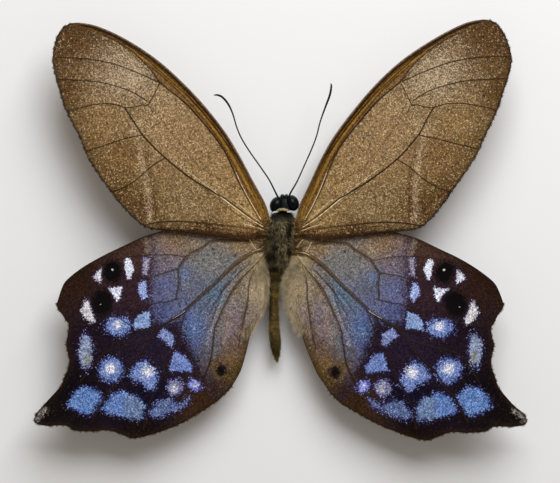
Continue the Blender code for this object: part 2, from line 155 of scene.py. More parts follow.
forewing = {
    "rootHeight": 4.6, "rise": 0.10, "camber": 0.55, "thickness": 0.11, "rows": 150, "columns": 180,
    "root": [(1.2, 1.6), (1.2, -0.3)],
    "front": [(1.2, 1.6), (1.45, 2.1), (2.1, 4.1), (3.8, 7.2), (5.75, 10.85), (7.85, 14.25), (10.95, 18.15),
              (14.4, 21.7), (17.75, 24.55), (21.75, 27.1), (25.4, 28.75), (27.9, 29.25), (29.2, 29.2)],
    "outer": [(29.2, 29.2), (30.3, 28.55), (31.2, 27.15), (31.7, 24.8), (31.6, 22.85), (30.75, 19.7),
              (29.9, 17.05), (27.95, 13.2), (26.75, 10.3), (24.6, 6.95), (21.95, 3.55), (19.75, 1.35),
              (18.55, 0.65), (17.1, 0.3)],
    "rear": [(1.2, -0.3), (2.65, -0.55), (5.05, -1.05), (9.9, -0.55), (13.5, -0.05), (17.1, 0.3)],
    "pins": [(1.5, 1.5, 0.75, -0.1), (8.0, 14.0, 0.2, -0.1), (17.0, 20.8, 0.05, 0.1),
             (21.7, 17.4, -0.2, 0.0), (16.1, 10.4, 0.3, -0.2), (29.2, 29.2, 0.1, 0.45),
             (31.5, 23.0, 0.6, 0.1), (28.0, 13.2, 0.75, 0.3), (18.6, 0.7, 0.75, -0.12),
             (19.3, 9.6, 0.05, 0.0),
             (17.1, 0.3, 0.5, -0.15)],
    # each vein is its radius at both ends and its points
    "veins": [
        (0.11, 0.10, [(1.7, 1.6), (2.4, 3.9), (4.1, 7.0), (6.05, 10.6), (8.15, 14.0), (11.25, 17.85),
                      (14.7, 21.4), (18.05, 24.25), (21.95, 26.8), (25.5, 28.45), (27.9, 28.95)]),
        (0.10, 0.04, [(2.3, 0.9), (2.9, 1.9), (5.5, 6.4), (7.5, 10.8), (9.2, 13.4), (12.3, 17.1),
                      (14.0, 18.7), (16.6, 20.8), (18.6, 23.3), (21.0, 25.5), (22.9, 26.7), (24.8, 27.6)]),
        (0.06, 0.04, [(2.1, 1.4), (3.3, 4.5), (5.0, 8.0), (7.0, 11.6), (9.55, 15.25), (12.8, 18.8),
                      (16.15, 21.9),
                      (19.3, 24.7), (22.8, 27.15), (26.2, 28.4)]),
        (0.065, 0.05, [(17.1, 21.0), (19.5, 22.1), (22.9, 23.4), (25.6, 24.0), (28.4, 24.3), (31.2, 24.4)]),
        (0.06, 0.06, [(16.8, 21.0), (18.0, 18.6), (18.6, 17.75), (19.4, 17.8), (20.3, 17.5), (21.7, 17.4)]),
        (0.05, 0.04, [(18.5, 17.75), (18.1, 17.3), (17.8, 16.7)]),
        (0.06, 0.05, [(18.6, 18.3), (20.5, 19.5), (22.9, 20.4), (25.6, 21.0), (28.4, 21.2), (31.0, 21.3)]),
        (0.06, 0.05, [(21.7, 17.4), (23.4, 17.9), (25.3, 17.9), (27.2, 17.5), (29.8, 16.8)]),
        (0.11, 0.065, [(1.9, 0.5), (2.9, 1.1), (7.5, 4.5), (12.3, 7.4), (16.1, 10.4), (19.0, 13.3),
                      (20.7, 15.8), (21.7, 17.4)]),
        (0.06, 0.05, [(19.3, 13.6), (21.9, 13.0), (24.3, 12.2), (27.0, 11.3)]),
        (0.06, 0.05, [(16.1, 10.4), (18.1, 9.1), (20.0, 7.4), (21.9, 6.2), (23.6, 5.6)]),
        (0.09, 0.045, [(1.9, 0.1), (3.1, 0.4), (7.5, 0.9), (12.3, 1.4), (14.7, 1.5), (17.1, 1.35),
                       (19.2, 0.95)]),
    ],
    "folds": [[(18.1, 17.6), (13.5, 11.6), (11.1, 9.0), (6.3, 6.1)],
              [(19.6, 12.6), (18.6, 9.3), (17.9, 6.0), (17.4, 2.0)]],
    # painted shade and painted highlights beside the veins, as radius and points: thin dark lines on the
    # veins' shaded side and bright golden lines on their lit side
    "grooves": [
        (0.06, [(3.0, 1.9), (3.6, 3.2), (5.8, 7.1), (7.0, 9.8), (8.9, 13.0), (11.6, 16.2), (14.3, 18.9),
                (17.0, 21.1), (18.9, 23.0), (21.0, 25.2), (22.6, 26.4)]),
        (0.065, [(6.4, 11.0), (9.2, 14.7), (10.8, 16.8), (12.7, 18.9), (15.1, 21.4), (17.6, 23.6),
                 (19.4, 24.9),
                (22.3, 26.7)]),
        (0.05, [(2.3, 0.3), (3.2, 0.8), (6.2, 2.55), (8.7, 4.6), (11.6, 6.8), (13.8, 8.4)]),
        (0.05, [(2.3, -0.2), (4.5, -0.2), (7.5, 0.35), (12.3, 0.85), (14.7, 1.0), (17.1, 0.9)]),
    ],
    "highlightLines": [
        (0.04, [(6.0, 3.1), (8.5, 5.15), (11.4, 7.35), (13.4, 8.9)]),
        (0.10, [(2.4, 0.75), (4.0, 1.7), (6.0, 3.15), (8.4, 4.95)]),
        (0.075, [(2.7, 1.8), (3.9, 3.8), (5.3, 6.4), (6.2, 8.4)]),
        (0.075, [(2.3, 0.25), (3.6, 0.75), (5.2, 1.2)]),
        (0.05, [(2.6, 1.2), (4.3, 2.6), (6.4, 4.4)]),
    ],
    # a golden stroke along the veins near the root: partly the scales' own gold, partly a painted highlight
    "giltHighlight": [[(2.3, 2.6), (3.7, 5.2), (4.8, 7.3), (6.6, 11.0), (8.6, 14.2)]],
    # the share of pale scales, partly painted glints, and places where more or fewer of them are pale: x, y,
    # reach, share
    "fleckShare": 0.125,
    "flecks": [(21.0, 21.8, 2.6, 0.30), (22.5, 22.5, 5.0, 0.16), (15.8, 18.0, 3.4, 0.10),
               (19.6, 14.8, 1.1, 0.25),
               (9.0, 8.5, 6.0, 0.02), (3.5, 0.5, 2.0, 0.10), (12.0, 4.5, 3.5, 0.04),
               (29.5, 21.0, 6.0, -0.06), (27.5, 27.8, 2.6, -0.07)],
    "patches": [
        (22.0, 21.5, 1.3, "#7A654C"), (14.0, 13.0, 1.7, "#8A6E4A"), (8.5, 8.0, 1.5, "#8A6D45"),
        (29.5, 27.0, 1.2, "#553B1C"), (30.5, 19.5, 1.0, "#583E1D"), (27.0, 11.5, 1.0, "#6A4F28"),
        (22.5, 5.5, 0.9, "#5A4019"), (22.0, 10.5, 1.2, "#72552F"), (12.0, 4.3, 1.3, "#7B633F"),
        (24.5, 15.5, 1.2, "#80643E"), (5.0, 2.8, 0.9, "#94784A"), (19.0, 3.5, 0.8, "#523818"),
        (10.0, 0.2, 0.8, "#533616"), (4.0, 0.0, 0.6, "#6B4216"),
    ],
    "band": [(1.2, 0.0), (4.5, -0.15), (9.0, 0.1), (13.0, 0.55), (17.0, 0.75), (17.3, 0.2), (9.9, -0.7),
             (5.0, -1.2), (1.2, -0.6)],
    "strip": [(1.3, 1.6), (2.0, 4.2), (3.6, 7.3), (5.5, 11.0), (7.6, 14.4), (10.7, 18.3), (14.2, 21.9),
              (17.6, 24.7), (21.7, 27.3), (25.4, 28.9), (28.5, 29.4), (27.4, 28.5), (24.8, 27.75),
              (21.0, 25.5), (18.6, 23.3), (16.6, 20.8),
              (12.3, 17.1), (9.2, 13.4), (7.5, 10.8), (5.5, 6.4), (2.9, 1.8)],
    # the leading strip's colours by the distance from the edge in millimetres; its golden band and dark lines
    # are partly the scales' colour and partly painted highlight on the veins' crests and painted shade beside
    # them
    "stripStops": [(0.0, "#5A4834"), (0.09, "#8A7460"), (0.2, "#3A2410"), (0.42, "#261002"),
                   (0.55, "#56380C"),
                   (0.8, "#76520F"), (1.05, "#926A22"), (1.2, "#6E4C22"), (1.32, "#381F08"),
                   (1.5, "#6E4E26")],
    "streak": [(20.7, 14.6), (19.8, 13.2), (19.3, 9.6), (18.6, 6.0), (18.2, 1.6)],
    # painted shade along the fold beside the pale streak
    "foldShade": [(19.0, 12.4), (18.3, 9.4), (17.8, 6.0), (17.4, 2.2)],
    "specks": [(9.9, 10.5, 0.28), (11.0, 8.7, 0.3), (5.4, 3.9, 0.28)],
}

hindwing = {
    "rootHeight": 4.0, "rise": 0.085, "camber": 0.35, "thickness": 0.11, "rows": 150, "columns": 190,
    "root": [(1.25, -1.3), (1.25, -2.7)],
    "front": [(1.25, -1.3), (2.4, -0.7), (4.2, 0.1), (7.7, 0.8), (11.9, 1.0), (15.1, 0.6), (17.1, 0.0),
              (19.05, -0.6), (21.45, -1.7), (24.8, -3.32), (27.65, -4.95), (29.85, -6.7), (30.6, -7.95),
              (31.2, -9.9)],
    "outer": [(31.2, -9.9), (31.2, -10.5), (30.15, -12.05), (29.55, -13.25), (29.9, -15.7), (29.55, -17.6),
              (29.55, -18.8), (30.15, -20.25), (30.95, -22.1), (32.8, -24.1), (33.9, -25.2),
              (34.3, -26.05), (34.15, -26.75), (32.55, -27.1), (30.15, -27.05), (28.7, -27.75), (26.3, -27.9),
              (24.35, -27.75), (22.65, -28.15), (20.95, -28.85), (19.05, -28.65), (16.4, -27.85),
              (13.5, -26.65), (10.85, -25.05), (8.45, -23.4), (6.75, -21.7)],
    "rear": [(1.25, -2.7), (1.9, -3.3), (2.0, -4.4), (1.75, -6.2), (1.7, -8.2), (1.95, -10.4), (3.35, -12.8),
             (4.2, -14.7), (4.8, -17.1), (5.55, -19.55), (6.75, -21.7)],
    "pins": [(2.8, -2.5, 0.24, -0.47), (13.9, -4.5, -0.35, -0.6), (13.4, -11.6, -1.0, 0.1),
             (23.45, -5.5, -0.5, 0.0), (18.7, -4.75, -0.32, -0.1), (23.2, -8.8, -0.7, -0.05),
             (24.9, -9.9, 0.0, -0.35), (22.7, -13.05, -0.3, -0.25), (27.2, -16.6, 0.2, 0.4),
             (18.6, -19.7, 0.0, -0.2), (16.1, -14.8, -0.63, -0.05), (14.8, -21.8, -0.45, 0.0),
             (16.0, -24.8, 0.45, -0.3), (8.3, -19.5, -0.55, -0.35), (34.3, -26.0, 0.15, -0.1),
             (32.6, -23.8, -0.2, -0.25),
             (29.5, -13.3, 0.0, -0.45), (31.2, -10.2, 0.05, 0.0), (21.0, -28.7, 0.0, -0.3),
             (1.8, -8.2, -0.75, 0.0), (4.2, -14.7, -1.05, 0.0), (6.75, -21.7, 0.0, -0.5),
             (20.0, -1.1, 0.1, -0.25),
             (25.0, -3.4, 0.1, -0.25)],
    "veins": [
        (0.10, 0.05, [(1.9, -1.9), (2.9, -1.5), (5.6, -1.2), (9.4, -1.2), (10.9, -2.1), (12.9, -3.2),
                      (13.9, -4.5), (14.3, -5.3), (14.2, -7.0), (14.5, -8.8), (14.6, -9.5)]),
        (0.05, 0.03, [(13.3, -3.5), (15.1, -3.2), (17.0, -3.2), (18.9, -3.3), (21.3, -3.5), (24.5, -4.4)]),
        (0.06, 0.03, [(14.3, -5.1), (15.8, -5.6), (17.3, -6.1), (19.5, -6.9)]),
        (0.05, 0.03, [(14.2, -9.3), (15.8, -9.8), (17.4, -10.0), (20.5, -10.9)]),
        (0.17, 0.08, [(1.9, -2.4), (2.8, -2.5), (3.9, -2.9), (6.4, -4.6), (8.9, -7.0), (11.1, -9.0),
                      (12.9, -10.6), (13.5, -11.3), (15.1, -12.3), (17.0, -13.5)]),
        (0.06, 0.04, [(17.0, -13.5), (18.3, -15.0), (18.8, -16.1), (20.4, -17.9), (22.0, -19.6),
                      (23.3, -21.7), (24.7, -23.3), (26.4, -26.6)]),
        (0.05, 0.03, [(17.0, -13.5), (19.6, -13.8), (21.9, -12.5), (23.6, -11.8), (26.3, -12.9),
                      (28.8, -12.9)]),
        (0.05, 0.03, [(18.3, -15.0), (21.0, -15.8), (24.3, -16.8), (25.8, -18.2), (28.0, -21.0)]),
        (0.055, 0.035, [(13.4, -11.6), (13.9, -13.5), (14.2, -15.0), (15.5, -17.6), (16.4, -20.0),
                      (17.1, -21.2), (18.6, -24.8), (19.0, -27.4)]),
        (0.08, 0.04, [(2.1, -2.8), (2.9, -3.8), (5.2, -6.2), (6.7, -8.2), (7.6, -9.9), (8.5, -11.9),
                      (9.2, -13.7), (9.5, -16.3), (9.9, -18.5), (11.4, -22.0)]),
        (0.06, 0.03, [(2.2, -3.2), (3.0, -4.3), (4.3, -7.0), (4.5, -9.5), (5.0, -11.9), (5.4, -13.7),
                      (5.9, -16.3)]),
    ],
    "folds": [[(5.2, -5.3), (7.6, -7.8), (8.9, -9.6), (10.2, -12.0)], [(3.4, -3.6), (6.6, -6.6), (8.4, -8.6)],
              [(6.8, -6.2), (9.6, -9.4), (11.4, -11.6)]],
    # painted shade beside the veins: thin dark lines on their shaded side
    "grooves": [
        (0.05, [(2.6, -2.75), (3.8, -3.15), (6.3, -4.85), (8.8, -7.25), (11.0, -9.25), (13.4, -11.5)]),
        (0.05, [(2.4, -2.1), (3.9, -2.6), (6.5, -4.3), (9.0, -6.75), (11.2, -8.75), (13.6, -11.0)]),
        (0.05, [(2.6, -3.7), (5.0, -6.25), (6.5, -8.3), (7.4, -10.0), (8.3, -12.0), (9.0, -13.8)]),
        (0.06, [(5.3, -5.2), (7.6, -7.7), (8.8, -9.4)]),
        (0.05, [(6.0, -1.4), (9.4, -1.45), (10.8, -2.3), (12.7, -3.4), (13.7, -4.6), (14.05, -5.4),
                (13.95, -7.0), (14.2, -8.7)]),
    ],
    # painted highlights beside the veins: bright golden lines on their lit side
    "highlightLines": [
        (0.06, [(2.2, -2.35), (3.9, -2.85), (6.4, -4.55), (8.9, -6.95), (10.6, -8.5)]),
        (0.05, [(2.2, -2.9), (3.0, -3.8), (5.2, -6.1)]),
        (0.04, [(2.0, -3.1), (2.6, -4.0), (3.3, -5.2)]),
        (0.045, [(8.9, -6.95), (10.6, -8.55), (12.2, -9.9), (13.5, -11.2), (15.1, -12.2)]),
        (0.08, [(4.3, -1.0), (3.9, -1.7), (3.4, -2.4)]),
        (0.08, [(3.1, -0.6), (2.7, -1.0), (2.2, -1.7)]),
        (0.07, [(3.9, -2.8), (3.2, -2.5), (2.5, -2.3)]),
        (0.06, [(2.9, -3.4), (2.2, -2.7)]),
    ],
    # a golden stroke along the vein near the root: partly the scales' own gold, partly a painted highlight
    "giltHighlight": [[(3.0, -1.2), (6.5, -1.2), (9.0, -1.5), (11.5, -1.9)]],
    "fleckShare": 0.08,
    "flecks": [(14.0, -1.6, 2.6, 0.16), (7.0, -2.2, 3.2, 0.16), (3.0, -4.0, 1.6, 0.1),
               (11.5, -14.0, 2.2, 0.14),
               (9.0, -13.0, 1.6, 0.1)],
    "patches": [
        (14.7, -1.2, 1.2, "#77604A"), (5.5, -1.8, 0.9, "#80694C"), (16.3, -4.3, 0.9, "#6B606C"),
        (10.3, -4.2, 1.2, "#70706F"), (12.8, -2.0, 0.8, "#7C6A56"), (12.6, -7.9, 1.1, "#5E6272"),
        (16.3, -7.6, 0.9, "#5C6088"),
        (16.5, -11.2, 0.8, "#4A527E"), (8.9, -9.0, 1.0, "#566880"), (12.3, -13.6, 1.2, "#4C6896"),
        (10.6, -16.6, 0.9, "#55545F"), (6.2, -8.4, 0.9, "#766858"), (7.2, -13.0, 1.2, "#776764"),
        (6.2, -16.6, 0.9, "#6A5546"), (3.2, -8.3, 1.0, "#A8967A"), (7.2, -20.4, 0.9, "#42301A"),
        (9.6, -22.4, 1.1, "#2C1810"), (9.2, -18.4, 0.7, "#5E4520"), (13.4, -5.9, 0.7, "#5E7092"),
        (13.3, -9.3, 0.7, "#585A7C"), (7.0, -4.0, 0.6, "#62686A"), (12.9, -11.8, 0.7, "#585F90"),
        (12.0, -15.8, 0.8, "#4A558A"), (7.0, -18.0, 0.7, "#74562A"), (5.6, -19.0, 0.7, "#5A421E"),
    ],
    # bands between the folds that run out from the root: half the width, colour and points
    "bands": [
        (0.45, "#5E7288", [(8.2, -6.6), (10.0, -8.9), (11.8, -11.6)]),
        (0.25, "#70869E", [(6.3, -5.9), (8.2, -7.6), (9.6, -9.6)]),
        (0.14, "#8E784C", [(3.9, -5.2), (5.7, -7.9), (7.4, -10.0), (8.4, -11.5)]),
        (0.5, "#7C6E74", [(5.9, -10.8), (6.3, -12.4), (6.8, -14.0)]),
        (0.22, "#3A3632", [(5.5, -4.2), (6.7, -6.3), (8.0, -8.0), (8.5, -9.6), (9.2, -11.5), (10.0, -13.6)]),
        (0.2, "#8E9098", [(6.2, -5.7), (7.4, -8.0), (8.8, -11.1), (9.7, -13.6), (10.3, -15.9)]),
        (0.26, "#66706C", [(8.0, -12.5), (8.8, -15.7), (9.3, -17.6)]),
        (0.35, "#8E7C76", [(6.4, -8.9), (7.2, -12.2), (7.8, -15.5)]),
        (0.16, "#5E3E2A", [(4.7, -9.6), (5.1, -11.9), (5.8, -14.3), (6.4, -16.4)]),
        (0.55, "#54401E", [(4.5, -13.2), (5.0, -15.9), (5.8, -18.5), (6.9, -21.0)]),
    ],
    "duskOutline": [(17.8, 2.0), (17.9, -4.3), (18.0, -9.4), (17.6, -12.4), (15.4, -12.7), (14.0, -11.8),
                    (13.4, -14.4), (11.9, -17.4), (10.8, -19.6), (10.2, -21.8), (9.1, -23.2), (7.0, -25.0),
                    (20.0, -32.0), (40.0, -30.0), (38.0, -5.0)],
    "duskPatches": [
        (20.5, -1.8, 1.3, "#432D25"), (28.5, -7.0, 1.2, "#2B1810"), (21.3, -7.8, 1.2, "#301E26"),
        (18.5, -16.1, 1.3, "#22182A"), (25.2, -14.7, 1.3, "#190E1A"), (28.8, -21.5, 1.2, "#0C060C"),
        (19.0, -27.9, 1.0, "#120706"), (11.6, -24.6, 1.0, "#382414"), (18.2, -23.0, 1.2, "#0E0A1E"),
        (32.0, -25.8, 0.9, "#0F0808"),
    ],
    # markings: an outline as a list or an oval as centre, radii and turn, then the colour, the white
    # core as centre and radii, and how crisp the edge is
    "spots": [
        ([(25.0, -4.9), (25.1, -7.2), (26.3, -6.3)], "#E4E0EC", None, 2.6),
        ([(21.75, -3.7), (21.05, -3.6), (20.4, -5.2), (21.1, -6.6), (21.45, -6.6),
          (21.75, -5.1)], "#ECEFFA", None,
         3.0),
        ([(19.3, -3.6), (18.3, -3.5), (18.6, -6.0), (19.3, -6.0)], "#9C92A0", None, 1.8),
        ([(19.7, -7.1), (18.9, -6.7), (18.6, -9.0), (19.2, -9.6), (20.0, -8.4)], "#A6B6EC", None, 2.2),
        ([(24.2, -7.9), (22.1, -7.7), (22.4, -9.2), (22.8, -9.8), (23.4, -8.9)], "#EAEDFC", None, 2.4),
        ([(27.3, -9.5), (26.8, -9.9), (25.9, -12.4), (26.3, -12.9), (27.2, -12.2), (28.0, -11.1)], "#E2DCDC",
         None, 1.8),
        ([(19.9, -11.7), (18.9, -11.2), (18.3, -11.0), (18.15, -13.3), (20.5, -13.7),
          (20.4, -12.4)], "#849ECC",
         None, 3.0),
        ((22.7, -13.2, 1.8, 1.3, 0), "#7087C4", (22.7, -13.0, 0.6, 0.6), 1.1),
        ((27.25, -16.7, 0.95, 2.4, 0), "#8C98B4", None, 1.5),
        ((27.1, -17.6, 0.7, 1.2, 0), "#8A8C86", None, 3.0),
        ((23.7, -19.3, 1.7, 1.75, 0), "#647EBC", (23.7, -19.1, 0.78, 0.72), 1.1),
        ([(21.2, -20.1), (20.1, -18.4), (18.9, -17.9), (17.2, -19.8), (17.1, -20.8), (17.7, -22.1),
          (18.6, -22.1), (19.5, -21.1), (20.6, -20.7)], "#768DCA", (18.6, -19.6, 0.85, 0.8), 1.1),
        ([(16.4, -13.4), (15.0, -14.3), (14.8, -15.6), (15.3, -16.1), (17.2, -14.5)], "#7E8BBE", None, 2.2),
        ([(14.9, -16.8), (13.7, -17.1), (12.3, -18.8), (12.4, -19.7), (15.6, -19.4)], "#6C82C2", None, 2.4),
        ((14.8, -21.8, 1.1, 1.15, 0), "#7A789E", (14.8, -22.0, 0.36, 0.36), 1.3),
        ((12.0, -21.5, 1.05, 0.8, 25), "#8088DC", (12.0, -21.5, 0.3, 0.26), 1.6),
        ([(29.8, -24.3), (28.7, -22.3), (27.6, -21.7), (26.2, -21.8), (25.0, -22.9), (25.2, -23.7),
          (26.6, -25.6), (27.9, -25.3)], "#5A80BE", None, 1.1),
        ([(25.1, -24.9), (23.6, -22.8), (22.0, -22.3), (21.0, -23.0), (21.2, -26.0), (22.6, -25.8),
          (24.3, -25.3)], "#5E80C0", None, 1.2),
        ([(22.6, -22.6), (20.3, -22.9), (18.8, -24.4), (19.3, -26.2), (21.0, -26.2),
          (22.4, -25.8)], "#647CA2",
         None, 1.2),
        ([(18.7, -25.6), (17.1, -23.7), (15.6, -23.4), (14.2, -24.2), (12.7, -23.2), (13.0, -24.4),
          (15.2, -25.4), (17.6, -26.1)], "#576894", None, 1.1),
    ],
    # a pale brown bar on the front margin, softer than the spots
    "bar": [(18.9, -0.9), (18.65, -1.9), (18.55, -3.0)],
    "eyespots": [(23.5, -5.5, 1.2, 1.45), (24.9, -9.9, 1.3, 1.65), (8.3, -19.4, 0.65, 0.7)],
    "pupils": [(23.5, -5.3, 0.2, 0.2), (25.2, -10.2, 0.16, 0.16)],
    "tail": [(34.2, -26.2), (33.8, -25.6), (33.0, -24.9)],
    "goldRim": [(7.6, -20.2), (8.3, -20.45), (9.0, -20.1), (9.35, -19.3)],
    "specks": [(9.4, -2.4, 0.32), (6.3, -3.3, 0.25)],
}


def wingFields(plan, points):
    # what the scales need to know at each point of the wing, in millimetres
    inner = np.vstack([smoothLine(plan["front"]), smoothLine(plan["outer"])])
    gaps = [distanceTo(points, smoothLine(line, 4)) - near for near, far, line in plan["veins"]]
    fields = {
        "margin": distanceTo(points, np.vstack([inner, smoothLine(plan["rear"])[::-1]])),
        "vein": np.min(gaps, axis=0),
        "fold": np.min([distanceTo(points, smoothLine(line, 4)) for line in plan["folds"]], axis=0),
        "speck": np.max([depthInOval(points, (x, y), (r, r)) for x, y, r in plan["specks"]], axis=0),
    }
    # the golden stroke fades outwards from the root; it is partly gold scales and partly a painted highlight
    giltHighlight = np.min([distanceTo(points, smoothLine(line, 4)) for line in plan["giltHighlight"]], axis=0)
    fields["giltHighlight"] = -0.012 * points[:, 0] - giltHighlight
    fields["fleck"] = plan["fleckShare"] + sum(
        share * np.exp(-((points[:, 0] - x) ** 2 + (points[:, 1] - y) ** 2) / reach ** 2)
        for x, y, reach, share in plan["flecks"])
    tints = {"groundTint": softMix(points, plan["patches"])}
    if plan is forewing:
        free = np.vstack([smoothLine(plan["outer"]), smoothLine(plan["rear"])[::-1]])
        fields["rim"] = distanceTo(points, free)
        fields["lead"] = distanceTo(points, smoothLine(plan["front"]))
        fields["band"] = depthIn(points, plan["band"])
        fields["strip"] = depthIn(points, plan["strip"])
        fields["streak"] = 0.55 - distanceTo(points, plan["streak"])
        fields["foldShade"] = distanceTo(points, smoothLine(plan["foldShade"], 4))
        return fields, tints
    bands = np.array([half - distanceTo(points, smoothLine(line, 4)) for half, colour, line in plan["bands"]])
    bandColours = np.array([linear(colour)[:3] for half, colour, line in plan["bands"]])
    tints["bandTint"] = bandColours[bands.argmax(axis=0)]
    fields["band"] = bands.max(axis=0)
    depths, cores = [], []
    for shape, colour, core, crisp in plan["spots"]:
        oval = isinstance(shape, tuple)
        depth = depthInOval(points, shape[:2], shape[2:4], shape[4]) if oval else depthIn(points, shape)
        depths.append(crisp * depth)
        if core:
            cores.append(depthInOval(points, core[:2], core[2:]))
    depths = np.array(depths)
    colours = np.array([linear(spot[1])[:3] for spot in plan["spots"]])
    tints["spotTint"] = colours[depths.argmax(axis=0)]
    tints["duskTint"] = softMix(points, plan["duskPatches"])
    fields["spot"] = depths.max(axis=0)
    fields["spotHeart"] = np.minimum(fields["spot"], 0.35)
    fields["core"] = np.max(cores, axis=0)
    fields["dusk"] = depthIn(points, plan["duskOutline"])
    fields["eyespot"] = np.max([depthInOval(points, e[:2], e[2:]) for e in plan["eyespots"]], axis=0)
    fields["pupil"] = np.max([depthInOval(points, e[:2], e[2:]) for e in plan["pupils"]], axis=0)
    fields["bar"] = 0.5 - distanceTo(points, plan["bar"])
    fields["tail"] = 0.45 - distanceTo(points, plan["tail"])
    fields["goldRim"] = 0.22 - distanceTo(points, smoothLine(plan["goldRim"], 4))
    return fields, tints


def addFields(piece, fields, tints, copies=1):
    for name, values in fields.items():
        made = piece.data.attributes.new(name, "FLOAT", "POINT")
        made.data.foreach_set("value", np.tile(values, copies).astype(np.float32))
    for name, colours in tints.items():
        made = piece.data.attributes.new(name, "FLOAT_COLOR", "POINT")
        flat = np.hstack([colours, np.ones((len(colours), 1))])
        made.data.foreach_set("color", np.tile(flat, (copies, 1)).astype(np.float32).ravel())


def selectOnly(piece):
    bpy.ops.object.select_all(action="DESELECT")
    piece.select_set(True)
    bpy.context.view_layer.objects.active = piece


def vertexPlaces(piece):
    places = np.zeros(len(piece.data.vertices) * 3, np.float32)
    piece.data.vertices.foreach_get("co", places)
    return places.reshape(-1, 3).astype(float)


def setPlaces(piece, places):
    piece.data.vertices.foreach_set("co", np.asarray(places, np.float32).ravel())
    piece.data.update()


def faceOutwards(piece):
    selectOnly(piece)
    bpy.ops.object.mode_set(mode="EDIT")
    bpy.ops.mesh.select_all(action="SELECT")
    bpy.ops.mesh.normals_make_consistent(inside=False)
    bpy.ops.object.mode_set(mode="OBJECT")


def onSide(points, plan, side):
    # from the first wing's plan to this wing's place; side is 1 for the right wing and -1 for the left
    placed = moved(points, plan["pins"]) if side == 1 else points.copy()
    placed[:, 0] *= side
    return placed


# how the membrane dips between veins, creases at folds and waves, in millimetres
relief = {"lift": 0.05, "sag": 0.10, "sagReach": 1.1, "fold": 0.07, "foldWidth": 0.2, "wave": 0.03}


def makeWing(name, plan, side, material, slot):
    bpy.ops.object.select_all(action="DESELECT")
    bpy.ops.mesh.primitive_grid_add(x_subdivisions=plan["rows"], y_subdivisions=plan["columns"], size=1)
    wing = bpy.context.object
    grid = vertexPlaces(wing)
    u, v = grid[:, 0:1] + 0.5, grid[:, 1:2] + 0.5
    lines = {edge: smoothLine(plan[edge]) for edge in ("root", "front", "outer", "rear")}
    points = (1 - u) * pointsAt(lines["root"], v[:, 0]) + u * pointsAt(lines["outer"], v[:, 0])
    for edge, fade in (("front", (1 - v) ** 3), ("rear", v ** 3)):
        line = lines[edge]
        points += fade * (pointsAt(line, u[:, 0]) - (1 - u) * line[0] - u * line[-1])
    fields, tints = wingFields(plan, points)
    height = plan["rootHeight"] + plan["rise"] * points[:, 0]
    height += plan["camber"] * np.sin(np.pi * v[:, 0]) * np.sin(np.pi * np.minimum(u[:, 0], 0.5))
    vein = np.maximum(fields["vein"], 0)
    sag = (1 - np.exp(-vein / relief["sagReach"])) * np.minimum(fields["margin"], 1.0)
    crease = np.exp(-(fields["fold"] / relief["foldWidth"]) ** 2)
    height += relief["lift"] - relief["sag"] * sag - relief["fold"] * crease
    ripple = relief["wave"] * np.sin(points[:, 0] * 1.1 + 0.6 * points[:, 1])
    height += ripple * np.sin(points[:, 1] * 0.9 - 0.4)
    placed = onSide(points, plan, side)
    setPlaces(wing, np.column_stack([placed, height]) * mm)
    selectOnly(wing)
    shell = wing.modifiers.new("membrane", "SOLIDIFY")
    shell.thickness = plan["thickness"] * mm
    shell.offset = 0
    bpy.ops.object.modifier_apply(modifier="membrane")
    addFields(wing, fields, tints, copies=2)
    places = vertexPlaces(wing)
    half = len(places) // 2
    under = np.arange(len(places)) >= half
    if places[:half, 2].mean() < places[half:, 2].mean():
        under = ~under
    addFields(wing, {"under": under.astype(float)}, {})
    faceOutwards(wing)
    bpy.ops.object.shade_smooth_by_angle(angle=math.radians(50))
    return finishPiece(wing, f"{name}_membrane", material, slot, name)


# Scales and membrane of the wings

scaleLook = {
    "cell": 0.12,  # a real scale is 0.07 mm wide; it is drawn coarser so that it shows
    "cluster": 0.21,
    "stroke": 0.45,  # the spacing of the fine light lines where scales stand on edge
    "patch": 0.9,  # how far the scales' colour drifts, in millimetres
}


def scaleCells(material):
    # one random draw for each scale, and a slower drift over the wing
    place = addNode(material, "ShaderNodeTexCoord").outputs["Object"]
    cells = addNode(material, "ShaderNodeTexVoronoi", {"Scale": 1 / (scaleLook["cell"] * mm)},
                    {"Vector": place})
    draws = addNode(material, "ShaderNodeSeparateColor", links={0: cells.outputs["Color"]})
    # bigger, sparser clusters that catch the light
    clusters = addNode(material, "ShaderNodeTexVoronoi", {"Scale": 1 / (scaleLook["cluster"] * mm)},
                       {"Vector": place})
    pick = addNode(material, "ShaderNodeSeparateColor", links={0: clusters.outputs["Color"]})
    middle = addNode(material, "ShaderNodeMapRange",
                     {"From Min": 0.3, "From Max": 0.6, "To Min": 1.0, "To Max": 0.0},
                     {"Value": clusters.outputs["Distance"]})
    drift = addNode(material, "ShaderNodeTexNoise", {"Scale": 1 / (scaleLook["patch"] * mm), "Detail": 5.0},
                    {"Vector": place})
    own = addNode(material, "ShaderNodeMath", {1: -0.5}, {0: draws.outputs["Red"]}, operation="ADD")
    centred = addNode(material, "ShaderNodeMath", {1: -0.5}, {0: drift.outputs["Fac"]}, operation="ADD")
    loose = addNode(material, "ShaderNodeMath", {1: 0.9}, {0: centred.outputs[0], 2: own.outputs[0]},
                    operation="MULTIPLY_ADD")
    lines = addNode(material, "ShaderNodeTexNoise", {
        "Scale": 1 / (scaleLook["stroke"] * mm), "Detail": 1.0, "Offset": 1.0}, {"Vector": place},
        noise_type="RIDGED_MULTIFRACTAL")
    tuft = addNode(material, "ShaderNodeMath", {1: -0.5}, {0: pick.outputs["Green"]}, operation="ADD")
    loose = addNode(material, "ShaderNodeMath", {1: 0.7}, {0: tuft.outputs[0], 2: loose.outputs[0]},
                    operation="MULTIPLY_ADD")
    return {"loose": loose.outputs[0], "drift": drift.outputs["Fac"],
            "shade": draws.outputs["Green"], "glint": draws.outputs["Blue"],
            "bulge": cells.outputs["Distance"],
            "pick": pick.outputs["Red"], "middle": middle.outputs[0], "tuft": pick.outputs["Blue"],
            "lines": lines.outputs["Fac"]}


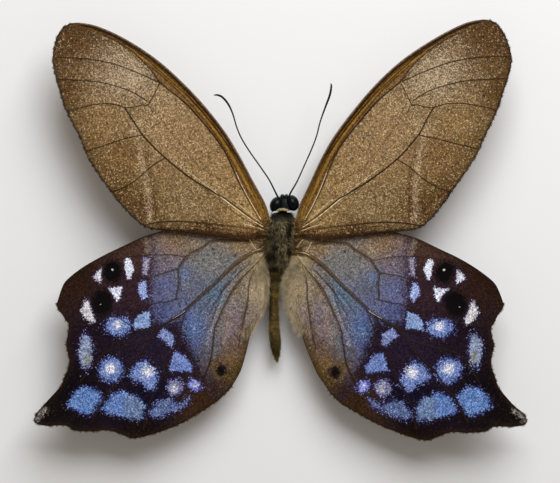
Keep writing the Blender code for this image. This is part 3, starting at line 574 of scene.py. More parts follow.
def layScales(material, cells, colour, layers):
    # each layer covers what lies below it where its field is deep enough, scale by scale
    for field, spread, low, high, most, tint in layers:
        depth = addNode(material, "ShaderNodeAttribute", attribute_name=field)
        loose = addNode(material, "ShaderNodeMath", {1: spread}, {0: cells["loose"], 2: depth.outputs["Fac"]},
                        operation="MULTIPLY_ADD")
        share = addNode(material, "ShaderNodeMapRange", {"From Min": low, "From Max": high, "To Max": most},
                        {"Value": loose.outputs[0]})
        links = {"Fac": share.outputs["Result"], "Color1": colour}
        values = {}
        if not isinstance(tint, str):
            links["Color2"] = tint
        elif tint.startswith("#"):
            values["Color2"] = linear(tint)
        else:
            links["Color2"] = addNode(material, "ShaderNodeAttribute", attribute_name=tint).outputs["Color"]
        colour = addNode(material, "ShaderNodeMixRGB", values, links).outputs["Color"]
    return colour


def grained(material, cells, colour, low, high):
    # each scale is a little lighter or darker than its neighbours
    for draw, share, start, end in ((cells["shade"], 1.0, 0.0, 1.0), (cells["tuft"], 0.15, 0.0, 1.0),
                                    (cells["lines"], 0.45, 0.3, 1.3)):
        middle = (low + high) / 2
        shade = addNode(material, "ShaderNodeMapRange", {
            "From Min": start, "From Max": end, "To Min": 1 + (low / middle - 1) * share,
            "To Max": 1 + (high / middle - 1) * share}, {"Value": draw})
        colour = addNode(material, "ShaderNodeMixRGB", {"Fac": 1.0},
                         {"Color1": colour, "Color2": shade.outputs[0]},
                         blend_type="MULTIPLY").outputs["Color"]
    return colour


def flecked(material, cells, colour, tint, strength):
    # single scales and small clusters stand out pale, more of them where the wing's fleck field is high; they
    # are partly pale scales and partly painted glints
    amount = addNode(material, "ShaderNodeAttribute", attribute_name="fleck").outputs["Fac"]
    lit = addNode(material, "ShaderNodeMixRGB", {"Fac": 0.5, "Color2": linear(tint)}, {"Color1": addNode(
        material, "ShaderNodeMixRGB", {"Fac": 1.0, "Color2": (2.0, 2.0, 2.0, 1.0)}, {"Color1": colour},
        blend_type="MULTIPLY").outputs["Color"]}).outputs["Color"]
    for draw, most in ((cells["glint"], 0.7), (cells["pick"], 1.0)):
        chance = addNode(material, "ShaderNodeMath", links={0: draw, 1: amount}, operation="ADD")
        share = addNode(material, "ShaderNodeMapRange",
                        {"From Min": 1.0, "From Max": 1.08, "To Max": most * strength},
                        {"Value": chance.outputs[0]}).outputs[0]
        if draw is cells["pick"]:
            share = addNode(material, "ShaderNodeMath", links={0: share, 1: cells["middle"]},
                            operation="MULTIPLY").outputs[0]
        colour = addNode(material, "ShaderNodeMixRGB", links={"Fac": share, "Color1": colour, "Color2": lit}
                         ).outputs["Color"]
    return colour


def shaded(material, colour, lines):
    # darker along edges, veins and folds: the field, its reach, how much at most, and the colour there
    for field, width, most, tint in lines:
        near = addNode(material, "ShaderNodeAttribute", attribute_name=field)
        share = addNode(material, "ShaderNodeMapRange",
                        {"From Min": 0.0, "From Max": width, "To Min": most, "To Max": 0.0},
                        {"Value": near.outputs["Fac"]})
        colour = addNode(material, "ShaderNodeMixRGB", {"Color2": linear(tint)},
                         {"Fac": share.outputs[0], "Color1": colour}).outputs["Color"]
    return colour


def scaleRelief(material, shader, cells, height):
    bump = addNode(material, "ShaderNodeBump", {"Strength": 0.55, "Distance": height * mm},
                   {"Height": cells["bulge"]})
    material.node_tree.links.new(bump.outputs["Normal"], shader.inputs["Normal"])


def forewingMaterial():
    # scaled wing membrane: brown hair-like scales on clear chitin, dull with a faint silky shine
    material, shader = newMaterial("forewingScales", {"Roughness": 0.65, "Specular IOR Level": 0.08})
    cells = scaleCells(material)
    ground = addNode(material, "ShaderNodeAttribute", attribute_name="groundTint").outputs["Color"]
    lead = addNode(material, "ShaderNodeAttribute", attribute_name="lead").outputs["Fac"]
    widest = forewing["stripStops"][-1][0]
    inwards = addNode(material, "ShaderNodeMapRange", {"From Max": widest}, {"Value": lead}).outputs[0]
    strip = addNode(material, "ShaderNodeValToRGB", links={"Fac": inwards}, stops=[
        (reach / widest, tint) for reach, tint in forewing["stripStops"]]).outputs["Color"]
    strip = flecked(material, cells, grained(material, cells, strip, 0.55, 1.45), "#E4CC98", 0.3)
    # darker towards the margin in the scales' own colour, and painted shade along the fold beside the pale
    # streak
    colour = shaded(material, ground, [("margin", 2.4, 0.34, "#3A240C"), ("foldShade", 0.45, 0.5, "#4A3216")])
    colour = layScales(material, cells, colour, [
        ("streak", 0.9, 0.0, 0.6, 0.6, "#B49C7C"),
        ("speck", 0.1, 0.0, 0.15, 0.8, "#3A2818"),
    ])
    colour = grained(material, cells, colour, 0.4, 1.6)
    colour = flecked(material, cells, colour, "#ECDAB8", 0.9)
    colour = layScales(material, cells, colour, [
        ("band", 0.5, -0.1, 0.25, 0.95, "#382009"),
        ("strip", 0.1, 0.0, 0.15, 0.97, strip),
        # the golden stroke near the root: gold scales and a painted highlight
        ("giltHighlight", 0.7, -0.65, -0.15, 0.3, "#7E5A22"),
        ("giltHighlight", 0.9, -0.25, 0.25, 0.4, "#B48A44"),
    ])
    # dark rim and veins in their own colour, and painted shade in the creases of the folds
    colour = shaded(material, colour, [
        ("rim", 0.42, 0.85, "#1E1207"), ("vein", 0.08, 0.6, "#2A1606"), ("fold", 0.13, 0.6, "#4A3018")])
    colour = undersideOf(material, cells, colour, "#7A6248")
    material.node_tree.links.new(colour, shader.inputs["Base Color"])
    scaleRelief(material, shader, cells, 0.02)
    return material


def undersideOf(material, cells, colour, ground):
    # below, the same print is duller and mottled
    mottle = addNode(material, "ShaderNodeMixRGB", {"Color1": linear(ground), "Color2": linear("#4E3B28")},
                     {"Fac": cells["drift"]})
    dull = addNode(material, "ShaderNodeMixRGB", {"Fac": 0.62},
                   {"Color1": colour, "Color2": mottle.outputs[0]})
    under = addNode(material, "ShaderNodeAttribute", attribute_name="under")
    return addNode(material, "ShaderNodeMixRGB", links={
        "Fac": under.outputs["Fac"], "Color1": colour, "Color2": dull.outputs[0]}).outputs["Color"]


def hindwingMaterial():
    # scaled wing membrane: slate-blue and brown ground scales, and bright blue and white scales in spots
    material, shader = newMaterial("hindwingScales", {"Roughness": 0.6, "Specular IOR Level": 0.05})
    cells = scaleCells(material)
    ground = addNode(material, "ShaderNodeAttribute", attribute_name="groundTint").outputs["Color"]
    colour = layScales(material, cells, ground, [
        # the golden stroke near the root: gold scales and a painted highlight
        ("giltHighlight", 1.6, -0.3, 0.3, 0.5, "#A88C62"),
        ("band", 0.5, -0.1, 0.3, 0.75, "bandTint"),
    ])
    colour = flecked(material, cells, colour, "#D0BE9E", 0.4)
    colour = layScales(material, cells, colour, [
        ("dusk", 1.4, -0.8, 0.5, 0.6, "#352A50"),
        ("dusk", 0.9, -0.35, 0.45, 1.0, "duskTint"),
    ])
    colour = flecked(material, cells, colour, "#5E4632", 0.6)
    colour = layScales(material, cells, colour, [
        ("bar", 0.8, 0.0, 0.4, 0.7, "#85766A"),
        ("spot", 0.5, -0.45, 0.15, 0.75, "#2A2266"),
        ("spot", 0.55, -0.02, 0.22, 0.82, "spotTint"),
        ("spotHeart", 1.0, 0.0, 0.4, 0.75, "spotTint"),
        ("spotHeart", 2.2, 0.7, 1.2, 0.4, "#B4C4EE"),
        ("core", 0.5, -0.25, 0.35, 0.88, "#E8E8F4"),
        ("tail", 0.8, 0.0, 0.5, 0.8, "#B4AEA6"),
        ("goldRim", 0.5, 0.0, 0.2, 0.7, "#8A6E34"),
    ])
    colour = shaded(material, colour, [("margin", 0.7, 0.6, "#2A1C08")])
    colour = grained(material, cells, colour, 0.45, 1.55)
    colour = layScales(material, cells, colour, [
        ("eyespot", 0.5, -0.4, 0.1, 0.97, "#050405"),
        ("pupil", 0.05, 0.0, 0.08, 1.0, "#FFFFFF"),
        ("speck", 0.1, 0.0, 0.15, 0.8, "#2A2420"),
    ])
    # dark margin and veins in their own colour, and painted shade in the creases of the folds
    colour = shaded(material, colour, [
        ("margin", 0.18, 0.7, "#140C05"), ("vein", 0.12, 0.65, "#2A1A0E"), ("fold", 0.2, 0.45, "#2E2A2A")])
    colour = undersideOf(material, cells, colour, "#6E5A46")
    material.node_tree.links.new(colour, shader.inputs["Base Color"])
    scaleRelief(material, shader, cells, 0.02)
    return material


# Slender pieces: veins, feelers, legs

def tubePiece(lines, resolution=2):
    # each line is points in millimetres and their radii; the tubes become one mesh at the origin
    bpy.ops.object.select_all(action="DESELECT")
    bpy.ops.curve.primitive_bezier_curve_add()
    curve = bpy.context.object
    curve.data.splines.clear()
    curve.data.dimensions = "3D"
    curve.data.bevel_depth = mm
    curve.data.bevel_resolution = resolution
    curve.data.use_fill_caps = True
    for points, radii in lines:
        spline = curve.data.splines.new("POLY")
        spline.points.add(len(points) - 1)
        for target, place, radius in zip(spline.points, points, radii):
            target.co = (*[c * mm for c in place], 1)
            target.radius = radius
    selectOnly(curve)
    bpy.ops.object.convert(target="MESH")
    piece = bpy.context.object
    piece.location = (0, 0, 0)
    bpy.ops.object.shade_smooth()
    return piece


def topOf(piece):
    # finds how high a piece's top is at a place, or its nearest point where the place is beside it
    tree = BVHTree.FromObject(piece, bpy.context.evaluated_depsgraph_get())
    above, level = 20 * mm, 6 * mm

    def height(x, y):
        hit = tree.ray_cast(Vector((x * mm, y * mm, above)), Vector((0, 0, -1)))[0]
        if hit is None:
            hit = tree.find_nearest(Vector((x * mm, y * mm, level)))[0]
        return hit.z / mm
    return height


def makeVeins(name, wing, plan, side, lines, sunk, material, slot):
    # tubes along lines of the plan: near radius, far radius and points, sunk by a share of the radius
    height = topOf(wing)
    tubes = []
    for near, far, points in lines:
        placed = onSide(smoothLine(points, 8), plan, side)
        radii = near + (far - near) * np.linspace(0, 1, len(placed))
        tubes.append(([(x, y, height(x, y) - sunk * r) for (x, y), r in zip(placed, radii)], radii))
    finishPiece(tubePiece(tubes, 1), name, material, slot)


def veinMaterial(name, roughness, shine, stops):
    # vein chitin: tubes of hardened skin, amber near the root and dark further out
    material, shader = newMaterial(name, {"Roughness": roughness, "IOR": 1.56, "Specular IOR Level": shine})
    place = addNode(material, "ShaderNodeTexCoord").outputs["Object"]
    far = addNode(material, "ShaderNodeVectorMath", links={0: place}, operation="LENGTH")
    near = addNode(material, "ShaderNodeMapRange", {"From Min": 5 * mm, "From Max": 25 * mm},
                   {"Value": far.outputs["Value"]})
    ramp = addNode(material, "ShaderNodeValToRGB", links={"Fac": near.outputs[0]}, stops=stops)
    grain = addNode(material, "ShaderNodeTexNoise", {"Scale": 1 / (0.35 * mm), "Detail": 4.0},
                    {"Vector": place})
    rough = addNode(material, "ShaderNodeMapRange",
                    {"From Min": 0.3, "From Max": 0.7, "To Min": 0.45, "To Max": 1.3},
                    {"Value": grain.outputs["Fac"]})
    colour = addNode(material, "ShaderNodeMixRGB", {"Fac": 1.0}, {
        "Color1": ramp.outputs["Color"], "Color2": rough.outputs[0]}, blend_type="MULTIPLY")
    material.node_tree.links.new(colour.outputs["Color"], shader.inputs["Base Color"])
    return material


# Hairs, bristles and fringes: closed three-sided strands, many in one mesh

strand = {"taper": 0.6, "lowest": 0.01}  # no hair reaches into the floor


def strandPiece(roots, directions, lengths, radii, bends, segments, rng, light=0.0):
    # operators can't place thousands of tapering hairs, so their points are worked out in one go
    count = len(roots)
    directions = directions / np.linalg.norm(directions, axis=1, keepdims=True)
    across = np.cross(directions, rng.normal(size=(count, 3)))
    across /= np.linalg.norm(across, axis=1, keepdims=True)
    upright = np.cross(directions, across)
    lengths, radii = np.broadcast_to(lengths, count)[:, None], np.broadcast_to(radii, count)[:, None]
    size = 3 * segments + 1
    places = np.zeros((count, size, 3))
    share = np.zeros((count, size))
    for ring in range(segments + 1):
        t = ring / segments
        centre = roots + directions * lengths * t + bends * lengths * t ** 2
        if ring == segments:
            places[:, -1] = centre
            share[:, -1] = 1
            break
        for corner in range(3):
            angle = corner * 2 * math.pi / 3
            out = across * math.cos(angle) + upright * math.sin(angle)
            places[:, 3 * ring + corner] = centre + out * radii * (1 - t) ** strand["taper"]
            share[:, 3 * ring + corner] = t
    places[:, :, 2] = np.maximum(places[:, :, 2], strand["lowest"])
    pattern = [(2, 1, 0)]
    for ring in range(segments - 1):
        for corner in range(3):
            a, b = 3 * ring + corner, 3 * ring + (corner + 1) % 3
            pattern += [(a, b, b + 3), (a, b + 3, a + 3)]
    last = 3 * (segments - 1)
    pattern += [(last + corner, last + (corner + 1) % 3, size - 1) for corner in range(3)]
    faces = (np.array(pattern)[None] + (np.arange(count) * size)[:, None, None]).reshape(-1, 3)
    mesh = bpy.data.meshes.new("strands")
    mesh.from_pydata((places.reshape(-1, 3) * mm).tolist(), [], faces.tolist())
    piece = bpy.data.objects.new("strands", mesh)
    bpy.context.scene.collection.objects.link(piece)
    tone = np.repeat(rng.random(count), size)
    light = np.repeat(np.broadcast_to(light, count), size)
    addFields(piece, {"tip": share.ravel(), "tone": tone, "light": light}, {})
    mesh.shade_smooth()
    return piece


def scatter(piece, count, rng):
    # random points all over a piece, with the way its skin faces, in millimetres
    mesh = piece.data
    mesh.calc_loop_triangles()
    corners = np.zeros(len(mesh.loop_triangles) * 3, np.int32)
    mesh.loop_triangles.foreach_get("vertices", corners)
    triangles = vertexPlaces(piece)[corners.reshape(-1, 3)] / mm
    normals = np.cross(triangles[:, 1] - triangles[:, 0], triangles[:, 2] - triangles[:, 0])
    areas = np.linalg.norm(normals, axis=1)
    chosen = rng.choice(len(areas), count, p=areas / areas.sum())
    a, b = rng.random((2, count, 1))
    flip = a + b > 1
    a, b = np.where(flip, 1 - a, a), np.where(flip, 1 - b, b)
    t = triangles[chosen]
    places = t[:, 0] + a * (t[:, 1] - t[:, 0]) + b * (t[:, 2] - t[:, 0])
    return places, normals[chosen] / areas[chosen][:, None]


def hairMaterial(name, rootColour, tipColour, paleColour, roughness):
    # setae: fine solid hairs of dry chitin, dark at the root, with lighter worn tips
    material, shader = newMaterial(name, {"Roughness": roughness, "Specular IOR Level": 0.2})
    tip = addNode(material, "ShaderNodeAttribute", attribute_name="tip").outputs["Fac"]
    tone = addNode(material, "ShaderNodeAttribute", attribute_name="tone").outputs["Fac"]
    place = addNode(material, "ShaderNodeTexCoord").outputs["Object"]
    tufts = addNode(material, "ShaderNodeTexNoise", {"Scale": 1 / (0.7 * mm), "Detail": 3.0},
                    {"Vector": place})
    light = addNode(material, "ShaderNodeMixRGB", {"Color1": linear(tipColour), "Color2": linear(paleColour)},
                    {"Fac": tone})
    share = addNode(material, "ShaderNodeMath", links={0: tip, 1: tufts.outputs["Fac"]}, operation="MULTIPLY")
    strong = addNode(material, "ShaderNodeMapRange", {"From Min": 0.08, "From Max": 0.5},
                     {"Value": share.outputs[0]})
    colour = addNode(material, "ShaderNodeMixRGB", {"Color1": linear(rootColour)},
                     {"Fac": strong.outputs[0], "Color2": light.outputs[0]})
    mark = addNode(material, "ShaderNodeAttribute", attribute_name="light").outputs["Fac"]
    gain = addNode(material, "ShaderNodeMath", {0: 1.0}, {1: mark}, operation="ADD")
    colour = addNode(material, "ShaderNodeMixRGB", {"Fac": 1.0}, {
        "Color1": colour.outputs["Color"], "Color2": gain.outputs[0]}, blend_type="MULTIPLY")
    material.node_tree.links.new(colour.outputs[0], shader.inputs["Base Color"])
    return material


fringe = {"spacing": 0.022, "length": {"forewing": 0.27, "hindwing": 0.3}, "radius": 0.045,
          "inset": 0.12, "reach": 0.2, "sway": 0.06, "sunk": 0.06, "lengths": (0.55, 1.3), "clumping": 0.25,
          "seeds": {"forewing": 40, "hindwing": 50}}


def makeFringe(name, wing, plan, side, material, slot):
    rng = np.random.default_rng(fringe["seeds"][slot] + side)
    line = smoothLine(plan["outer"])
    length = np.linalg.norm(np.diff(line, axis=0), axis=1).sum()
    count = int(length / fringe["spacing"])
    shares = (np.arange(count) + rng.random(count) * 0.6) / count
    here, ahead = pointsAt(line, shares), pointsAt(line, np.minimum(shares + 0.002, 1.0))
    behind = pointsAt(line, np.maximum(shares - 0.002, 0.0))
    run = ahead - behind
    run /= np.linalg.norm(run, axis=1, keepdims=True)
    out = np.column_stack([-run[:, 1], run[:, 0]])  # outwards, as the margin runs clockwise
    roots = onSide(here - out * fringe["inset"], plan, side)
    sway = run * rng.normal(0, fringe["sway"], (count, 1))
    tips = onSide(here + out * fringe["reach"] + sway, plan, side)
    height = topOf(wing)
    z = np.array([height(x, y) for x, y in roots]) - fringe["sunk"]
    directions = np.column_stack([tips - roots, rng.normal(-0.02, 0.03, count)])
    roots = np.column_stack([roots, z])
    clumps = 1 + fringe["clumping"] * np.sin(shares * length * 5.5 + 2 * np.sin(shares * length * 1.7))
    lengths = fringe["length"][slot] * rng.uniform(*fringe["lengths"], count) * clumps
    bends = rng.normal(0, 0.1, (count, 3))
    piece = strandPiece(roots, directions, lengths, fringe["radius"], bends, 2, rng)
    finishPiece(piece, name, material, slot)


# Body

body = {
    "thorax": [(0.32, 2.70, 3.70, 0.95, 0.75), (0.30, 2.35, 3.60, 1.35, 1.20), (0.20, 1.50, 3.20, 1.85, 2.35),
               (0.10, 0.60, 2.95, 2.15, 3.15), (0.00, -0.60, 2.95, 2.25, 3.15),
               (-0.10, -2.00, 2.95, 2.15, 3.15),
               (-0.28, -3.30, 3.05, 1.85, 2.65), (-0.48, -4.55, 3.25, 1.45, 1.90),
               (-0.62, -5.35, 3.40, 1.05, 1.25)],
    "head": [(0.62, 5.00, 3.50, 0.40, 0.50), (0.62, 4.80, 3.65, 0.70, 0.85), (0.62, 4.40, 3.75, 0.90, 1.05),
             (0.62, 3.70, 3.80, 1.00, 1.15), (0.62, 3.10, 3.85, 1.15, 1.10), (0.62, 2.80, 3.85, 0.90, 0.80),
             (0.50, 2.60, 3.75, 0.50, 0.50)],
    "abdomenPath": [(-0.66, -5.45, 3.40), (-0.80, -7.6, 3.25), (-0.86, -10.5, 2.95), (-0.80, -13.4, 2.65),
                    (-0.58, -16.2, 2.45), (-0.45, -18.2, 2.35)],
    "abdomenWidths": [0.95, 0.76, 0.58, 0.52, 0.54, 0.60, 0.66, 0.68, 0.46, 0.05],
    "abdomenDepth": 1.35,
    "segments": 9,
}


def loftPiece(rings, sides, rows, floor=None):
    # a tube through the body's rings, closed at each end by a fan of triangles
    bpy.ops.object.select_all(action="DESELECT")
    bpy.ops.mesh.primitive_cylinder_add(vertices=sides, radius=1, depth=1, end_fill_type="TRIFAN")
    piece = bpy.context.object
    bpy.ops.object.mode_set(mode="EDIT")
    bpy.ops.mesh.select_mode(type="EDGE")
    bpy.ops.mesh.select_all(action="DESELECT")
    bpy.ops.object.mode_set(mode="OBJECT")
    for edge in piece.data.edges:  # only the upright edges are cut into rows
        a, b = (piece.data.vertices[i].co for i in edge.vertices)
        edge.select = abs(a.z - b.z) > 0.5
    bpy.ops.object.mode_set(mode="EDIT")
    bpy.ops.mesh.subdivide(number_cuts=rows)
    bpy.ops.mesh.select_mode(type="VERT")
    bpy.ops.object.mode_set(mode="OBJECT")
    start = vertexPlaces(piece)
    line = smoothLine(rings, 12)
    at = pointsAt(line, np.clip(0.5 - start[:, 2], 0, 1))
    places = at[:, :3].copy()
    places[:, 0] += start[:, 0] * at[:, 3]
    places[:, 2] += start[:, 1] * at[:, 4]
    if floor is not None:
        places[:, 2] = np.maximum(places[:, 2], floor)
    setPlaces(piece, places * mm)
    faceOutwards(piece)
    bpy.ops.object.shade_smooth_by_angle(angle=math.radians(60))
    return piece


def skinMaterial(name, dark, light, roughness, grain):
    # body cuticle: hard dry skin under the hair, finely pitted
    material, shader = newMaterial(name, {"Roughness": roughness, "Specular IOR Level": 0.25})
    place = addNode(material, "ShaderNodeTexCoord").outputs["Object"]
    noise = addNode(material, "ShaderNodeTexNoise", {"Scale": 1 / (grain * mm), "Detail": 6.0},
                    {"Vector": place})
    ramp = addNode(material, "ShaderNodeValToRGB", links={"Fac": noise.outputs["Fac"]},
                   stops=[(0.35, dark), (0.65, light)])
    bump = addNode(material, "ShaderNodeBump", {"Strength": 0.5, "Distance": 0.02 * mm},
                   {"Height": noise.outputs["Fac"]})
    material.node_tree.links.new(ramp.outputs["Color"], shader.inputs["Base Color"])
    material.node_tree.links.new(bump.outputs["Normal"], shader.inputs["Normal"])
    return material


# the hair of each piece: how many, how long and thick, which way it is combed and how steeply it rises;
# marks are ovals (x, y, wide, long, light) that are darker below zero and lighter above
coats = {
    "thorax": {
        "count": 9500, "length": 0.62, "radius": 0.032, "lean": (0, -0.75, 0), "lift": 0.75, "seed": 3,
        "marks": [
            (0.2, 0.7, 0.7, 0.9, 1.2), (0.25, -2.1, 0.55, 0.6, 1.1), (-0.9, 0.9, 0.5, 0.6, 0.7),
            (0.75, -2.9, 0.25, 0.8, 1.9), (1.25, 0.42, 0.42, 0.95, -0.95), (-0.66, -2.05, 0.45, 0.4, -0.9),
            (-1.1, -3.3, 0.7, 0.55, -0.85), (1.14, -2.7, 0.28, 0.5, -0.8), (-0.8, -5.2, 0.8, 0.45, -0.9),
            (0.25, 2.5, 1.7, 0.45, -0.85), (-1.1, -0.6, 0.5, 0.25, -0.7), (1.65, 0.2, 0.2, 0.7, 1.2),
            (0.1, -4.2, 0.6, 0.5, 0.5)]},
    "abdomen": {
        "count": 6500, "length": 0.42, "radius": 0.031, "lean": (0, -0.9, 0), "lift": 0.35, "seed": 5,
        "marks": [
            (-1.35, -9.0, 0.3, 4.0, -0.6), (-0.9, -6.3, 1.2, 0.6, -0.6), (-0.6, -8.6, 0.6, 0.5, 0.4),
            (-0.9, -13.0, 0.7, 0.8, 0.3), (-0.5, -15.9, 0.9, 1.3, -0.5)]},
    "head": {"count": 4200, "length": 0.26, "radius": 0.022, "lean": (0, 0.25, 0.15), "lift": 0.8, "seed": 7},
    "midleg": {"count": 240, "length": 0.3, "radius": 0.016, "lean": (0.5, 0.35, -0.3),
               "lift": 0.7, "seed": 20},
    "hindleg": {"count": 240, "length": 0.3, "radius": 0.016, "lean": (0.5, -0.5, -0.3),
                "lift": 0.7, "seed": 20},
    "foreleg": {"count": 380, "length": 0.5, "radius": 0.016, "lean": (0.5, -0.5, -0.3),
                "lift": 0.7, "seed": 20},
    "palp": {"count": 700, "length": 0.14, "radius": 0.018, "lean": (0, -0.3, 0.5), "lift": 0.5, "seed": 31},
}
# no root lies lower than this; then how much heading, bend and length vary, and how deep a root is set
combing = {"lowest": 0.5, "scatter": 0.28, "bend": 0.35, "bendScatter": 0.12, "lengths": (0.55, 1.25),
           "sunk": 0.04}


def sweptHair(name, skin, coat, material, slot, side=0, spare=None):
    # a paired piece gives its side, which turns the lean over and changes the draws
    rng = np.random.default_rng(coat["seed"] + side)
    lean = np.array(coat["lean"]) * (side or 1, 1, 1)
    roots, normals = scatter(skin, coat["count"], rng)
    kept = roots[:, 2] > combing["lowest"]
    if spare is not None:
        kept &= spare(roots)
    roots, normals = roots[kept], normals[kept]
    directions = normals * coat["lift"] + lean + rng.normal(0, combing["scatter"], roots.shape)
    bends = lean * combing["bend"] + rng.normal(0, combing["bendScatter"], roots.shape)
    lengths = coat["length"] * rng.uniform(*combing["lengths"], len(roots))
    light = np.zeros(len(roots))
    for x, y, wide, long, amount in coat.get("marks", ()):
        near = np.hypot((roots[:, 0] - x) / wide, (roots[:, 1] - y) / long) + rng.normal(0, 0.2, len(roots))
        light = np.where(near < 1.3, amount * np.clip(2.6 - 2 * near, 0, 1), light)
    roots = roots - normals * combing["sunk"]
    piece = strandPiece(roots, directions, lengths, coat["radius"], bends, 2, rng, light)
    finishPiece(piece, name, material, slot)


def makeThorax(materials):
    skin = loftPiece(body["thorax"], sides=96, rows=60, floor=0.0)
    finishPiece(skin, "thorax_skin", materials["skin"], "thorax_fur", "thorax")
    sweptHair("thorax_hair", skin, coats["thorax"], materials["thoraxHair"], "thorax_fur")


def makeAbdomen(materials):
    path = smoothLine(body["abdomenPath"], 12)
    count = body["segments"]
    rings = []
    widths = body["abdomenWidths"]
    for step in range(count * 8 + 1):
        share = step / (count * 8)
        width = np.interp(share * count, range(count + 1), widths)
        # each segment swells and then tucks under the next one's edge
        phase = (share * count) % 1
        swell = 1 + 0.05 * math.sin(math.pi * phase) - (0.09 if phase < 0.1 and 0 < share < 1 else 0)
        centre = pointsAt(path, np.array([share]))[0]
        rings.append((*centre, width * swell, width * swell * body["abdomenDepth"]))
    skin = loftPiece(rings, sides=72, rows=150)
    finishPiece(skin, "abdomen_skin", materials["abdomenSkin"], "abdomen_scales", "abdomen")
    sweptHair("abdomen_hair", skin, coats["abdomen"], materials["abdomenHair"], "abdomen_scales")


eyes = {"left": (-0.50, 3.85, 4.0, -24.0), "right": (1.74, 4.1, 4.0, 24.0), "radii": (0.92, 1.16, 1.2)}


def makeEye(word, material):
    x, y, z, turn = eyes[word]
    bpy.ops.object.select_all(action="DESELECT")
    bpy.ops.mesh.primitive_ico_sphere_add(subdivisions=5, radius=1)
    eye = bpy.context.object
    start = vertexPlaces(eye) * np.array(eyes["radii"])
    c, s = math.cos(math.radians(turn)), math.sin(math.radians(turn))
    turned = np.column_stack([
        start[:, 0] * c - start[:, 1] * s, start[:, 0] * s + start[:, 1] * c, start[:, 2]])
    setPlaces(eye, (turned + np.array((x, y, z))) * mm)
    bpy.ops.object.shade_smooth()
    finishPiece(eye, f"{word}_eye_lens", material, "eye", f"{word}_eye")


def eyeMaterial():
    # compound eye: a dome of glassy facets over black pigment
    material, shader = newMaterial("eyeFacets", {"Roughness": 0.25, "Specular IOR Level": 0.14})
    place = addNode(material, "ShaderNodeTexCoord").outputs["Object"]
    facets = addNode(material, "ShaderNodeTexVoronoi", {"Scale": 1 / (0.07 * mm)}, {"Vector": place})
    clouds = addNode(material, "ShaderNodeTexNoise", {"Scale": 1 / (0.8 * mm), "Detail": 2.0},
                     {"Vector": place})
    ramp = addNode(material, "ShaderNodeValToRGB", links={"Fac": clouds.outputs["Fac"]},
                   stops=[(0.4, "#020303"), (0.75, "#0A1118")])
    bump = addNode(material, "ShaderNodeBump", {"Strength": 0.4, "Distance": 0.02 * mm},
                   {"Height": facets.outputs["Distance"]})
    material.node_tree.links.new(ramp.outputs["Color"], shader.inputs["Base Color"])
    material.node_tree.links.new(bump.outputs["Normal"], shader.inputs["Normal"])
    return material


# behind the eyes: a cream band, a tuft of white scales at each end and one white grain beside them;
# each is its middle line, its spread and the number of scales
collar = {
    "cream": ([(-0.4, 2.98, 5.1), (0.4, 3.16, 5.3), (1.1, 3.0, 5.2)], 0.065, 600),
    "white": ([(-1.05, 2.72, 5.0), (-0.75, 2.78, 5.1), (-0.4, 2.84, 5.2)], 0.04, 300),
    "whiteRight": ([(1.05, 2.8, 5.25), (1.35, 2.84, 5.15), (1.65, 2.92, 5.0)], 0.04, 200),
    "bead": ([(2.02, 2.58, 4.8), (2.06, 2.7, 4.8)], 0.05, 60),
}


collarScale = {"lengths": (0.15, 0.3), "radius": 0.045, "scatter": 0.25, "seed": 8}


def makeHead(materials):
    skin = loftPiece(body["head"], sides=72, rows=40)
    finishPiece(skin, "head_skin", materials["headSkin"], "head_fur", "head")
    for word in ("left", "right"):
        makeEye(word, materials["eye"])

    def clearOfEyes(places):
        clear = np.ones(len(places), bool)
        for word in ("left", "right"):
            away = (places - np.array(eyes[word][:3])) / np.array(eyes["radii"])
            clear &= np.linalg.norm(away, axis=1) > 1.15
        return clear
    sweptHair("head_hair", skin, coats["head"], materials["headHair"], "head_fur", spare=clearOfEyes)
    rng = np.random.default_rng(collarScale["seed"])
    for word, (line, spread, count) in collar.items():
        roots = pointsAt(smoothLine(line), rng.random(count)) + rng.normal(0, spread, (count, 3))
        directions = np.array((0, 0.1, 1.0)) + rng.normal(0, collarScale["scatter"], roots.shape)
        lengths = rng.uniform(*collarScale["lengths"], count)
        band = strandPiece(roots, directions, lengths, collarScale["radius"], directions * 0, 2, rng)
        finishPiece(band, f"collar_{word}", materials["cream" if word == "cream" else "white"], "head_fur")


feelers = {
    "left": [(-0.10, 4.70, 4.85, 0.13), (-0.45, 5.20, 5.10, 0.11), (-1.45, 7.20, 5.55, 0.085),
             (-2.65, 9.00, 5.95, 0.08), (-4.10, 11.05, 6.40, 0.08), (-5.30, 12.95, 6.75, 0.08),
             (-6.05, 14.65, 7.00, 0.08), (-6.62, 16.55, 7.15, 0.09), (-7.25, 17.90, 7.20, 0.13),
             (-8.05, 18.85, 7.20, 0.14), (-8.75, 19.17, 7.15, 0.12), (-9.25, 19.15, 7.10, 0.05)],
    "right": [(1.25, 4.85, 4.85, 0.13), (1.45, 5.45, 5.10, 0.11), (2.45, 7.20, 5.45, 0.085),
              (3.42, 9.35, 5.85, 0.08), (4.38, 11.50, 6.25, 0.08), (5.12, 13.45, 6.55, 0.08),
              (5.62, 15.40, 6.80, 0.08), (6.30, 17.35, 7.00, 0.11), (6.95, 19.10, 7.10, 0.14),
              (7.18, 20.35, 7.10, 0.12), (7.12, 20.80, 7.08, 0.05)],
    "rings": 46,
    "coat": 0.02,  # the scales on the shaft
}


def ringedTube(points, rings, groove, side=1, middle=0.0):
    # a slender piece with fine ring grooves, from points that carry their radius
    line = smoothLine([(middle + side * x, y, z, r) for x, y, z, r in points], 6)
    shares = np.linspace(0, 1, rings * 4 + 1)
    dense = pointsAt(line, shares)
    radii = dense[:, 3] * (1 - groove * (np.arange(len(dense)) % 4 == 0))
    return [tuple(p) for p in dense[:, :3]], radii


def makeFeelers(material):
    for word in ("left", "right"):
        points, radii = ringedTube(feelers[word], feelers["rings"], 0.16)
        piece = tubePiece([(points, radii + feelers["coat"])], 3)
        finishPiece(piece, f"{word}_feeler", material, "limb", f"{word}_antenna")


